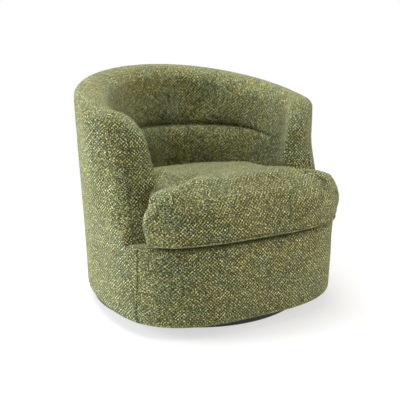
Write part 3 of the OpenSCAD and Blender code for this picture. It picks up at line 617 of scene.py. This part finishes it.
def channel_at(w):
    """Height of the tucked channel, which falls from the back towards the arms."""
    return CHANNEL_Z - 5 - 28 * float(smooth(w))


def chain(w, rz, foot):
    """Section of the padding from the rim's outer edge down to the seat: distance in from the wall, and
    height. w runs from 0 at the back to 1 at the arms, where the channel has faded out."""
    k, t, chz = (1 - w) ** 1.8, WALL_T, channel_at(w)
    pts = [((1 - w) * b[0] + w * a[0], rz + (1 - w) * b[1] + w * a[1])
           for b, a in zip(BACK_TOP, ARM_TOP)]
    pts += [(t - 2.5 - 5 * w, chz + 74 - 36 * w), (t - 0.5 - 3 * w, chz + 40 - 14 * w),
            (t - 2 * k - 1.5 * w, chz + 19 - 4 * w), (t - 7.5 * k - w, chz + 8),
            (t - (CHANNEL_D + 5) * k - w, chz + 1.5), (t - 18 * k - 0.5 * w, chz - 1.5),
            (t - 3.5 * k, chz - 6.5 - 2 * w), (t + 5 * k + 0.5 * w, chz - 15 - w),
            (t + 13.5 * k + w, chz - 31), (t + 19 * k + 2 * w, chz - 56), (t + 20.5 * k + 3 * w, chz - 86),
            (t + 18 * k + 3 * w, chz - 120), (t + 13 * k + 3 * w, chz - 158),
            (t + 8 * k + 3 * w, foot + 62), (t + 3.5, foot + 34), (t - 1, foot + 12), (t - 6, foot + 3)]
    return spline(pts, ROWS)


def seam_place(gap):
    """Place along the wall of the upright seam between inside back and inside arm."""
    return SHARE * math.degrees(math.asin(SEAM_X / (side_at(CHANNEL_Z) - WALL_T))) / 90 + gap


def pucker(s, z, chz, w):
    """Fine gathers along the channel, and a knot of them where the arm's channel starts to fade."""
    near = np.exp(-np.abs(z - chz) / 18) * max(1 - w * 1.3, 0.0)
    gathers = math.sin(s * 300) * 0.5 + math.sin(s * 167 + 1.3) * 0.6
    knot = math.exp(-((s - (seam_place(0) + 0.15)) / 0.045) ** 2)
    ripple = np.sin(s * 430 + z * 0.10) * np.exp(-((z - chz + 10) / 18) ** 2)
    return near * gathers * 0.7 + knot * ripple * 1.6


def arm_weight(s):
    """How far a place has come from the back's section, 0, to the arm's, 1."""
    end = SHARE + (1 - SHARE) * (WIDEST_Y - ARM_BACK_Y) / (WIDEST_Y - ARM_Y)
    return float(smooth((s - seam_place(0)) / (end - seam_place(0)) * 1.3))


def pad_section(s, w):
    """Section of the padding at one place along the wall, and the height of the rim there."""
    rz = float(rim_turned(float(wall(READ_Z, s)[1])))
    foot = float(deck_at(float(wall(BASE_TOP, s, WALL_T + LUMBAR)[1])))
    return chain(w, rz, foot), rz


def pad_column(sv, w, edge, depth):
    """One column of the padding; edge is its way from the upright seam, 1 or more where that ends."""
    s = abs(sv)
    c, rz = pad_section(s, w)
    d, z = c[:, 0], c[:, 1]
    seen, inner = smooth((d - 12) / 50), smooth((rz - 22 - z) / 60)
    p = wall(z, sv, d)
    swell = uneven(p, (2.4, 260, 5), (1.1, 110, 6)) * inner + uneven(p, (0.9, 120, 7)) * seen
    fade = 1 - smooth((s - 0.80) / 0.05)
    turn = seam_turn(edge, depth)
    d = d + (swell * seen + pucker(s, z, channel_at(w), w) * inner) * fade - turn * seen
    return wall(z - turn * (1 - inner) * seen, sv, d)


# The upright seams: half their open width and their turned edge as shares of the wall, and their depths
SEAM_GAP, SEAM_TURN = 0.0007, 0.010
LEFT_SEAM, RIGHT_SEAM = 1.1, 0.6


def inside_back():
    """Padding between the two upright seams."""
    seam = seam_place(-SEAM_GAP)
    grid = [pad_column(seam * v, 0.0, (1 - abs(v)) * seam / SEAM_TURN, LEFT_SEAM if v > 0 else RIGHT_SEAM)
            for v in np.linspace(-1, 1, 171)]
    return upholster("inside_back_pad", np.array(grid), 9.0, ("inside_back",))


def evenly(paths, n):
    """The same rows drawn with n points each, in even steps along them."""
    cols = np.empty((n, paths.shape[1], 3))
    for r in range(paths.shape[1]):
        length = np.concatenate([[0], np.cumsum(np.linalg.norm(np.diff(paths[:, r], axis=0), axis=1))])
        at = np.linspace(0, length[-1], n)
        for k in range(3):
            cols[:, r, k] = np.interp(at, length, paths[:, r, k])
    return cols


def arm_end(side, start):
    """Columns that lead from the last inner column round the arm's front to the outside cover."""
    y0, z0 = start[:, 1], start[:, 2]
    d0 = wall_x(z0, y0) - side * start[:, 0]
    edge_d = 0.1
    # the height at which each row reaches the outside cover: the rows of the rim fan out down its edge
    row = np.arange(ROWS)
    last = np.nonzero(z0 > 560.0)[0].max()
    lift = np.maximum(z0 - float(rim_at(END_Y)), 0)
    ze = z0.copy()
    ze[:last + 1] = z0[0] - (z0[0] - z0[last]) * (row[:last + 1] / last) ** 1.1
    end = cover_end(np.maximum(ze, BASE_TOP))
    power = 2.8 + 2.2 * smooth((640 - z0) / 110)
    full = 14 * np.exp(-((z0 - 462) / 40) ** 2) * smooth((z0 - 418) / 14)
    tau = np.sin(np.linspace(0, math.pi / 2, 260)) ** 1.5
    paths = []
    for t in np.concatenate([tau, [1.0]]):
        a = t * math.pi / 2
        c, q = max(math.cos(a), 1e-9) ** (2 / power), math.sin(a) ** (2 / power)
        z = ze + (z0 - ze) * c ** 1.2
        d = edge_d + (d0 + full * float(smooth(t / 0.25)) - edge_d) * c
        front = face_y(z - lift * c)
        y = front + (y0 - front) * (1 - q) + (end - front) * (1 - corner_at(d, z)) * q
        paths.append(np.stack([d, y, z], -1))
    n = 90
    cols = evenly(np.array(paths), n)
    out = []
    for i in range(1, n):
        d, y, z = cols[i].T
        to_end = n - 1 - i
        edge = min(i / 12, 1) * min(to_end / 10, 1)
        # the seam down the front, pressed in and fading out below the rim
        seam = 40 - 24 * smooth((z - 330) / 190)
        below = 1 - smooth((z - 435) / 95)
        ditch = 9.0 * np.exp(-((d - seam) / 2.5) ** 2) * below * min(to_end / 4, 1)
        across = np.clip(d / np.maximum(d0, 1), 0, 1)
        crown = 2.5 * np.sin(math.pi * across) * smooth((d0 - 60) / 50) * edge
        p = np.stack([side * (wall_x(z, y) - d), y - crown + ditch, z], -1)
        p[:, 1] -= uneven(p, (0.8, 95, 12), (1, 200, 13)) * edge
        out.append(p)
    # two last columns turn in behind the outside cover's edge
    for back, depth in ((8.0, 4.0), (15.0, 9.0)):
        y, z = end + back, ze - 2.2 * depth * smooth((ze - 560) / 30)
        out.append(np.stack([side * (wall_x(ze, y) - depth), y, z], -1))
    return out


def inside_arm(side, name):
    """Padding of one arm, from its upright seam round the front to the outside cover."""
    seam = seam_place(SEAM_GAP)
    s_end = SHARE + (1 - SHARE) * (WIDEST_Y - END_Y) / (WIDEST_Y - ARM_Y)
    s = np.linspace(seam, s_end, 150)
    depth = LEFT_SEAM if side > 0 else RIGHT_SEAM
    cols = [pad_column(side * v, arm_weight(v), (v - seam) / SEAM_TURN, depth) for v in s[:-1]]
    c, _ = pad_section(s_end, arm_weight(s_end))
    last = np.stack([side * (wall_x(c[:, 1], END_Y) - c[:, 0]), np.full(ROWS, END_Y), c[:, 1]], -1)
    # below the swept front the columns leave the wall's own places for straight lines across
    blend = 40
    for i in range(1, blend):
        t = float(smooth(i / blend))
        x, y, z = cols[-i].T
        y2 = y * t + float(wall(READ_Z, s[-1 - i])[1]) * (1 - t)
        d = wall_x(z, y) - side * x
        cols[-i] = np.stack([side * (wall_x(z, y2) - d), y2, z], -1)
    grid = np.array(cols + [last] + arm_end(side, last))
    # the front's lower edge reaches down behind the rolled top of the front panel
    drop = 0.6 + 25 * smooth((np.arange(len(grid)) - len(cols)) / 25)
    tails = [grid[:, -1] + np.stack([0 * drop, 0.08 * k * drop, -k * drop], -1) for k in (0.5, 1.0)]
    grid = np.concatenate([grid, np.stack(tails, 1)], axis=1)
    return upholster("inside_arm_pad_" + name, grid, 9.0, ("inside_arm_" + name, "arm_front_" + name))


def stacked(name, loops, bottom, top, body, replaced):
    """Closed piece from loops of points over one another, each end closed by a fan to its own point."""
    n, m = len(loops[0]), len(loops)
    faces = [(k * n + i, k * n + (i + 1) % n, (k + 1) * n + (i + 1) % n, (k + 1) * n + i)
             for k in range(m - 1) for i in range(n)]
    faces += [(m * n, (i + 1) % n, i) for i in range(n)]
    faces += [(m * n + 1, (m - 1) * n + i, (m - 1) * n + (i + 1) % n) for i in range(n)]
    return make(name, np.vstack(loops + [np.array([bottom, top])]), faces, body, replaced)


def inset_loop(loop, d):
    """A closed outline moved inwards by one distance, or by one for each point."""
    v = np.roll(loop, -1, axis=0) - np.roll(loop, 1, axis=0)
    nrm = np.stack([-v[:, 1], v[:, 0]], -1) / np.linalg.norm(v, axis=1)[:, None]
    area = 0.5 * np.sum(loop[:, 0] * np.roll(loop[:, 1], -1) - np.roll(loop[:, 0], -1) * loop[:, 1])
    return loop + nrm * np.asarray(d)[..., None] * np.sign(area)


def closed(points, n):
    """Closed spline through the points, with n of its own."""
    loop = spline(np.vstack([points, points[:3]]), 12 * n)
    k = len(loop) // 2 + np.argmin(np.linalg.norm(loop[len(loop) // 2:] - loop[0], axis=1))
    return loop[:k][np.linspace(0, k, n, endpoint=False).astype(int)]


def seat_deck():
    """Covered deck under the loose cushion; its front corners show beside the cushion's wings."""
    count, wall_in, front_in = 61, 56.0, 26
    s = np.linspace(-0.85, 0.85, count)
    low, high = wall(SKIRT_Z + 25, s, wall_in), wall(READ_Z, s, wall_in)
    x = np.sign(s) * np.minimum(np.abs(low[:, 0]), np.abs(high[:, 0]))
    y = np.where(np.abs(s) <= SHARE, np.minimum(low[:, 1], high[:, 1]), high[:, 1])
    back = np.column_stack([x, y])
    fx, power = np.linspace(1, -1, count), 2 / FRONT_SQ
    f = np.radians(90 * np.sign(fx) * np.abs(fx) ** 1.3)
    a, b = side_at(DECK_Z - 60) - front_in, FRONT_D - front_in
    front = np.column_stack([a * np.sign(f) * np.abs(np.sin(f)) ** power,
                             WIDEST_Y - b * np.cos(f) ** power])
    front = front[np.abs(front[:, 0]) < abs(back[0, 0])]
    front = front[front[:, 1] < back[0, 1] - 8]
    loop = closed(np.vstack([back, front]), 300)
    # distance in and height over the deck, round the deck's edge
    loops = []
    for d, h in [(14, -19), (3, -19), (1, -15), (1, -6), (2.5, -2.2), (6, -0.7), (12, -0.4)]:
        q = inset_loop(loop, d)
        loops.append(np.column_stack([q, deck_at(q[:, 1]) + h]))
    ob = stacked("seat_deck_cover", loops, [0.0, 0.0, deck_at(0.0) - 19], [0.0, 0.0, deck_at(0.0) - 0.4],
                 "chair", ("deck_pad",))
    dress(ob)
    return ob


# Loose seat cushion
PLAY = 1.6                                   # between the cushion and the padding
NECK_X = ARM_HALF_W - WALL_T - 3 - PLAY
WING_R, WING_EXTRA = 34.0, 15                # radius of the wings' ends, and their reach past the solid's
CUSHION_Z = CHANNEL_Z - 70                   # height at which the outline follows the padding
DECK_GAP = 1.2                               # between the cushion and the deck
VOXEL = 0.008                                # metres, of the mesh that the cloth pressure fills
PIN_H, MOST_MOVE = 16, 15.0                  # the cloth is held up to this height, and moved by this at most
# inset, shrink, share of the thickness, share of the crown
CUSHION_ROWS = [
    (16, 0.35, 0, 0), (16, 0.7, 0, 0), (15, 0.95, 0, 0), (11, 1, 0.012, 0), (8.5, 1, 0.04, 0),
    (8, 1, 0.1, 0), (8, 1, 0.2, 0), (8, 1, 0.35, 0), (9.5, 1, 0.5, 0), (14, 1, 0.65, 0),
    (22, 1, 0.78, 0.0), (33, 1, 0.875, 0.02), (46, 1, 0.935, 0.08), (56, 0.985, 0.965, 0.2),
    (58, 0.92, 0.97, 0.42), (58, 0.8, 0.97, 0.68), (58, 0.62, 0.97, 0.87), (58, 0.42, 0.97, 0.97),
    (58, 0.2, 0.97, 1)]


def front_edge(x):
    """Front of the cushion, an overhang ahead of the base."""
    wide, power = side_at(BASE_TOP) + OVERHANG, FRONT_SQ
    return WIDEST_Y - (FRONT_D + OVERHANG) * (1 - (np.abs(x) / wide) ** power) ** (1 / power)


def cushion_outline(n=260):
    """T outline of the cushion: half of it from the back to the middle of the front, then its mirror."""
    pts, steps = [], 9
    for i in range(steps + 1):
        w = float(smooth((i / steps - 0.5) * 1.1))
        pts.append(wall(CUSHION_Z, SHARE * i / steps, WALL_T + LUMBAR * (1 - 0.85 * w) + PLAY)[:2])
    a = side_at(CUSHION_Z)
    for y in (-90, -130, ARM_Y, ARM_Y - 50):
        t = min((WIDEST_Y - y) / (WIDEST_Y - ARM_Y), 1)
        pts.append((a - (a - ARM_HALF_W) * t ** 1.7 - WALL_T - 3 - PLAY, y))
    foot = float(arm_front(BASE_TOP))
    pts += [(NECK_X, foot + 14), (NECK_X + 5, foot - 6), (NECK_X + 22, foot - 20)]
    mx, my = WING_X + WING_EXTRA - WING_R, float(front_edge(WING_X + 6)) + 12
    turns = map(math.radians, (66, 40, 15, -10, -32))
    pts += [(mx + WING_R * math.cos(t), my + WING_R * math.sin(t)) for t in turns]
    pts += [(x, float(front_edge(x))) for x in (320, 290, 250, 205, 155, 105, 50, 0)]
    pts = [tuple(map(float, p)) for p in pts]
    return closed(np.array(pts + [(-x, y) for x, y in pts[-2:0:-1]]), n)


def cushion_thick(y):
    """Thickness at a depth: the cushion is a wedge, thinner at the back."""
    return CUSHION_T - CUSHION_WEDGE * smooth((y - FRONT_Y) / (FRONT_D + BACK_D) * 0.8)


def tucked(loop, h):
    """Extra draw-in of the wings' ends towards the lower edge."""
    end = smooth((np.abs(loop[:, 0]) - 285) / 60) * smooth((-250 - loop[:, 1]) / 40)
    return 17 * end * (1 - smooth(h / 0.5))


def points_of(me):
    """A mesh's points in millimetres."""
    co = np.empty(len(me.vertices) * 3)
    me.vertices.foreach_get("co", co)
    return co.reshape(-1, 3) * 1000


def move_to(me, points):
    me.vertices.foreach_set("co", (points / 1000).ravel())


def evaluated(ob):
    """A new mesh of what an object's modifiers make of it now."""
    return bpy.data.meshes.new_from_object(ob.evaluated_get(bpy.context.evaluated_depsgraph_get()))


def apply_modifiers(ob):
    me = evaluated(ob)
    ob.modifiers.clear()
    ob.data = me


def inflate(ob, voxel, frames=20, pressure=4.0):
    """Remeshes a closed piece and lets cloth pressure fill it; returns the points before and after."""
    rem = ob.modifiers.new("remesh", "REMESH")
    rem.mode = "VOXEL"
    rem.voxel_size = voxel
    rem.use_smooth_shade = True
    apply_modifiers(ob)
    start = points_of(ob.data)
    pin = ob.vertex_groups.new(name="pin")
    hold = start[:, 2] - deck_at(start[:, 1]) < PIN_H
    pin.add(np.nonzero(hold)[0].tolist(), 1.0, "REPLACE")
    cloth = ob.modifiers.new("cloth", "CLOTH")
    st = cloth.settings
    st.quality = 6
    st.mass = 0.3
    st.tension_stiffness = st.compression_stiffness = 14
    st.shear_stiffness = 6
    st.bending_stiffness = 0.6
    st.use_pressure = True
    st.uniform_pressure_force = pressure
    st.effector_weights.gravity = 0
    st.vertex_group_mass = "pin"
    cloth.point_cache.frame_start = 1
    cloth.point_cache.frame_end = frames
    scene = bpy.context.scene
    for f in range(1, frames + 1):
        scene.frame_set(f)
    done = evaluated(ob)
    after = points_of(done)
    ob.modifiers.clear()
    scene.frame_set(1)
    bpy.data.meshes.remove(done)
    return start, after


def fill_cushion(ob):
    """Simulates the cushion's cover under pressure, and moves it as far as its neighbours leave room."""
    start, after = inflate(ob, VOXEL)
    move = after - start
    under = start[:, 2] - deck_at(start[:, 1])
    free = smooth((under - 12) / 30)
    side = smooth((-255 - start[:, 1]) / 50)
    topside = smooth((under - 110) / 30)
    scale = free * np.maximum(side, 0.25 + 0.75 * topside)
    length = np.linalg.norm(move, axis=1)
    cap = np.minimum(1.0, MOST_MOVE / np.maximum(length, 1e-6))
    move_to(ob.data, start + move * (cap * scale)[:, None])
    sub = ob.modifiers.new("sub", "SUBSURF")
    sub.levels = 1
    sub.render_levels = 1
    apply_modifiers(ob)
    mean, most = round(float(length.mean()), 1), round(float(length.max()), 1)
    print("cushion cloth: moved", mean, "mm on average,", most, "at most")


def cushion():
    """The cushion and its body's points; the welt follows its outline."""
    loop = cushion_outline()
    mid = np.array([0, -190.0])
    loops = []
    for d, k, h, c in CUSHION_ROWS:
        d = np.minimum(d * side_room(loop), wing_room(loop)) + tucked(loop, h)
        q = inset_loop(loop, d)
        q[:, 1] += 40 * smooth((h - 0.15) / 0.65) * wing_back(loop)
        q = mid + (q - mid) * k
        z = deck_at(q[:, 1]) + DECK_GAP + h * (cushion_thick(q[:, 1]) - 2) + c * (CROWN - 4)
        loops.append(np.column_stack([q, z - wing_drop(q) * smooth((h - 0.4) / 0.45)]))
    low = deck_at(mid[1]) + DECK_GAP
    top = low + (cushion_thick(mid[1]) - 2) * 0.97 + CROWN - 4
    ob = stacked("seat_cushion", loops, [*mid, low], [*mid, top], "seat_cushion",
                 ("cushion_cover", "cushion_core"))
    fill_cushion(ob)
    ob.vertex_groups.clear()
    co = points_of(ob.data)
    over = co[:, 2] - deck_at(co[:, 1])
    up = smooth((over - 90) / 40)
    co[:, 2] += uneven(co, (1.5, 240, 21), (0.7, 100, 22)) * up
    face = smooth((-300 - co[:, 1]) / 40) * smooth((co[:, 2] - deck_at(co[:, 1]) - 12) / 30) * (1 - up)
    co[:, 1] += uneven(co, (1.4, 170, 23), (0.6, 80, 24)) * face
    move_to(ob.data, co)
    ob.data.shade_smooth()
    dress(ob)
    return loop, co


def side_room(loop):
    """The back and neck stand square between the walls; the front and wings are drawn in fully."""
    return 0.35 + 0.65 * smooth((-230 - loop[:, 1]) / 50)


def wing_back(loop):
    """The backs of the wings, which lean towards the swept arms."""
    x = np.abs(loop[:, 0])
    return smooth((x - NECK_X + 3) / 8) * smooth((345 - x) / 45) * smooth((loop[:, 1] + 352) / 30)


def wing_drop(loop):
    """How far the top falls away towards the wings' ends."""
    return 8 * smooth((np.abs(loop[:, 0]) - 280) / 70) * smooth((-225 - loop[:, 1]) / 40)


def wing_room(loop):
    """How far the outline can be drawn in before the narrow wings fold over."""
    return 60 - 33 * smooth((np.abs(loop[:, 0]) - 225) / 60) * smooth((-225 - loop[:, 1]) / 40)


def tube(name, path, r, body, replaced, sides=10):
    """Round cord along a closed path."""
    n = len(path)
    d = np.roll(path, -1, axis=0) - np.roll(path, 1, axis=0)
    d /= np.linalg.norm(d, axis=1)[:, None]
    side = np.cross(d, [0, 0, 1.0])
    side /= np.linalg.norm(side, axis=1)[:, None]
    up = np.cross(side, d)
    ang = np.linspace(0, 2 * math.pi, sides, endpoint=False)
    ring = side[:, None] * np.cos(ang)[None, :, None] + up[:, None] * np.sin(ang)[None, :, None]
    verts = path[:, None] + r * ring
    return make(name, verts.reshape(-1, 3), ring_faces(n, sides), body, replaced)


def ring_faces(n, m):
    """Faces of n rings of m points each, closed both ways."""
    return [(i * m + k, (i + 1) % n * m + k, (i + 1) % n * m + (k + 1) % m, i * m + (k + 1) % m)
            for i in range(n) for k in range(m)]


def plinth_trim():
    """Black edging of the plinth: it stands under the board and wraps its edge."""
    count, lip = 192, 15.0
    r, low, high, board = PLINTH_R, GLIDE_H, BOARD_Z, PLINTH_TOP
    rows = [(r - STRIP_W, low), (r + lip - 2.5, low), (r + lip - 0.7, low + 0.7), (r + lip, low + 2.5),
            (r + lip, board - 2.5), (r + lip - 0.7, board - 0.7), (r + lip - 2.5, board), (r + 0.4, board),
            (r + 0.4, high), (r - STRIP_W, high)]
    ang = np.linspace(0, 2 * math.pi, count, endpoint=False)
    verts = np.array([(a * math.cos(t), a * math.sin(t), z) for t in ang for a, z in rows])
    slot = SLOTS["edge_strip"]
    ob = make("plinth_edging", verts, ring_faces(count, len(rows)), "base", ("edge_strip",),
              shade=False)
    return dress(ob, MATS[slot])


def averaged(loop, times):
    for _ in range(times):
        loop = sum(np.roll(loop, k, axis=0) for k in (2, 1, 0, -1, -2)) / 5
    return loop


def welt_level(q):
    return deck_at(q[:, 1]) + 0.6 + 0.06 * cushion_thick(q[:, 1])


def cushion_welt(loop, body):
    """Cord round the cushion's lower edge, drawn in to the body where it would stand off it."""
    q = averaged(inset_loop(loop, 5.0 + tucked(loop, 0.08)), 4)
    level = welt_level(q)
    for i in range(len(q)):
        near = body[np.abs(body[:, 2] - level[i]) < 4, :2]
        near = near[np.argmin(np.linalg.norm(near - q[i], axis=1))]
        gap = np.linalg.norm(q[i] - near)
        q[i] = near + (q[i] - near) * min(1, 1.5 / max(gap, 1e-6))
    q = averaged(q, 2)
    return dress(tube("cushion_welt_cord", np.column_stack([q, welt_level(q)]), 3.0, "seat_cushion",
                      ("cushion_welt",)))


plinth_trim()
outer_cover()
front_panel()
inside_back()
inside_arm(1, "left")
inside_arm(-1, "right")
seat_deck()
cushion_welt(*cushion())


# Floor, light and camera
FADE_FROM, FADE_TO, NEAR_WHITE = 0.75, 1.5, 0.6     # metres from the middle, and the near floor's white
FLOOR = 30                                          # metres from the middle to the floor's edges
WORLD_LIGHT = 0.31                                  # the surroundings are white to the camera and light less


def direct_ray(nt):
    """1 where the camera looks, also in a reflection or through glass, and 0 on rays that only light."""
    path = nt.nodes.new("ShaderNodeLightPath")
    ray = math_node(nt, "MAXIMUM", path.outputs["Is Camera Ray"], path.outputs["Is Glossy Ray"])
    return math_node(nt, "MAXIMUM", ray, path.outputs["Is Transmission Ray"])


def stage_material():
    """White floor that takes the chair's shadow close by and turns to plain white farther out."""
    mat, nt, bsdf, coord = tree_of("studio_floor")
    out = bsdf.outputs[0].links[0].to_node
    bsdf.inputs["Base Color"].default_value = (0.9, 0.9, 0.9, 1)
    bsdf.inputs["Roughness"].default_value = 0.9
    bsdf.inputs["Specular IOR Level"].default_value = 0.0
    em = nt.nodes.new("ShaderNodeEmission")
    em.inputs["Color"].default_value = (1, 1, 1, 1)
    em.inputs["Strength"].default_value = 1.0
    place = nt.nodes.new("ShaderNodeVectorMath")
    place.operation = "LENGTH"
    nt.links.new(coord, place.inputs[0])
    far = spread(nt, place.outputs["Value"], FADE_FROM, FADE_TO, NEAR_WHITE, 1.0)
    far.node.interpolation_type = "SMOOTHSTEP"
    blend = nt.nodes.new("ShaderNodeMixShader")
    nt.links.new(math_node(nt, "MULTIPLY", direct_ray(nt), far), blend.inputs["Fac"])
    nt.links.new(bsdf.outputs[0], blend.inputs[1])
    nt.links.new(em.outputs[0], blend.inputs[2])
    nt.links.new(blend.outputs[0], out.inputs[0])
    return mat


floor_mesh = bpy.data.meshes.new("studio_floor")
floor_mesh.from_pydata([(-FLOOR, -FLOOR, 0), (FLOOR, -FLOOR, 0), (FLOOR, FLOOR, 0), (-FLOOR, FLOOR, 0)],
                       [], [(0, 1, 2, 3)])
floor_mesh.materials.append(stage_material())
floor = bpy.data.objects.new("studio_floor", floor_mesh)
bpy.context.scene.collection.objects.link(floor)

world = bpy.data.worlds.new("studio")
bpy.context.scene.world = world
world.use_nodes = True
tree = world.node_tree
tree.nodes.clear()
world_out = tree.nodes.new("ShaderNodeOutputWorld")
sky = tree.nodes.new("ShaderNodeBackground")
tree.links.new(spread(tree, direct_ray(tree), 0.0, 1.0, WORLD_LIGHT, 1.0), sky.inputs["Strength"])
sky.inputs["Color"].default_value = (1, 1, 1, 1)
tree.links.new(sky.outputs[0], world_out.inputs[0])


def area_light(name, place, target, size, power, colour=(1, 1, 1)):
    light = bpy.data.lights.new(name, "AREA")
    light.shape = "RECTANGLE"
    light.size, light.size_y = size
    light.energy = power
    light.color = colour
    ob = bpy.data.objects.new(name, light)
    ob.location = place
    ob.rotation_euler = (Vector(target) - Vector(place)).to_track_quat("-Z", "Y").to_euler()
    bpy.context.scene.collection.objects.link(ob)


area_light("key", (-2.95, 1.15, 1.12), (0, 0, 0.42), (1.4, 1.4), 136, (0.93, 0.97, 1.0))
area_light("top", (-0.3, 0.3, 3.3), (0, 0, 0.3), (2.2, 2.2), 128)
area_light("warm_side", (3.0, -1.6, 1.3), (0, 0, 0.4), (1.6, 1.2), 46, (1.0, 0.92, 0.72))
area_light("fill", (0.4, -3.6, 1.6), (0, 0, 0.4), (2.2, 1.6), 21, (1.0, 0.94, 0.80))

# Camera, fitted to the chair's outline in the photograph
FOCAL, PHOTO_W = 684.67, 400     # in the photograph's pixels
CAMERA_AZ, CAMERA_EL = math.radians(-27.933), math.radians(14.851)
CAMERA_PLACE = (-1.0875, -2.0634, 0.9355)
cam = bpy.data.cameras.new("camera")
cam.sensor_width = 36
cam.lens = FOCAL / PHOTO_W * cam.sensor_width
cam.clip_end = 100
cam_ob = bpy.data.objects.new("camera", cam)
bpy.context.scene.collection.objects.link(cam_ob)
back = Vector((math.sin(CAMERA_AZ) * math.cos(CAMERA_EL), -math.cos(CAMERA_AZ) * math.cos(CAMERA_EL),
               math.sin(CAMERA_EL)))
right = Vector((0, 0, 1)).cross(back).normalized()
turn = Matrix((right, back.cross(right), back)).transposed().to_4x4()
cam_ob.matrix_world = Matrix.Translation(CAMERA_PLACE) @ turn
bpy.context.scene.camera = cam_ob
bpy.context.scene.view_settings.view_transform = "Standard"
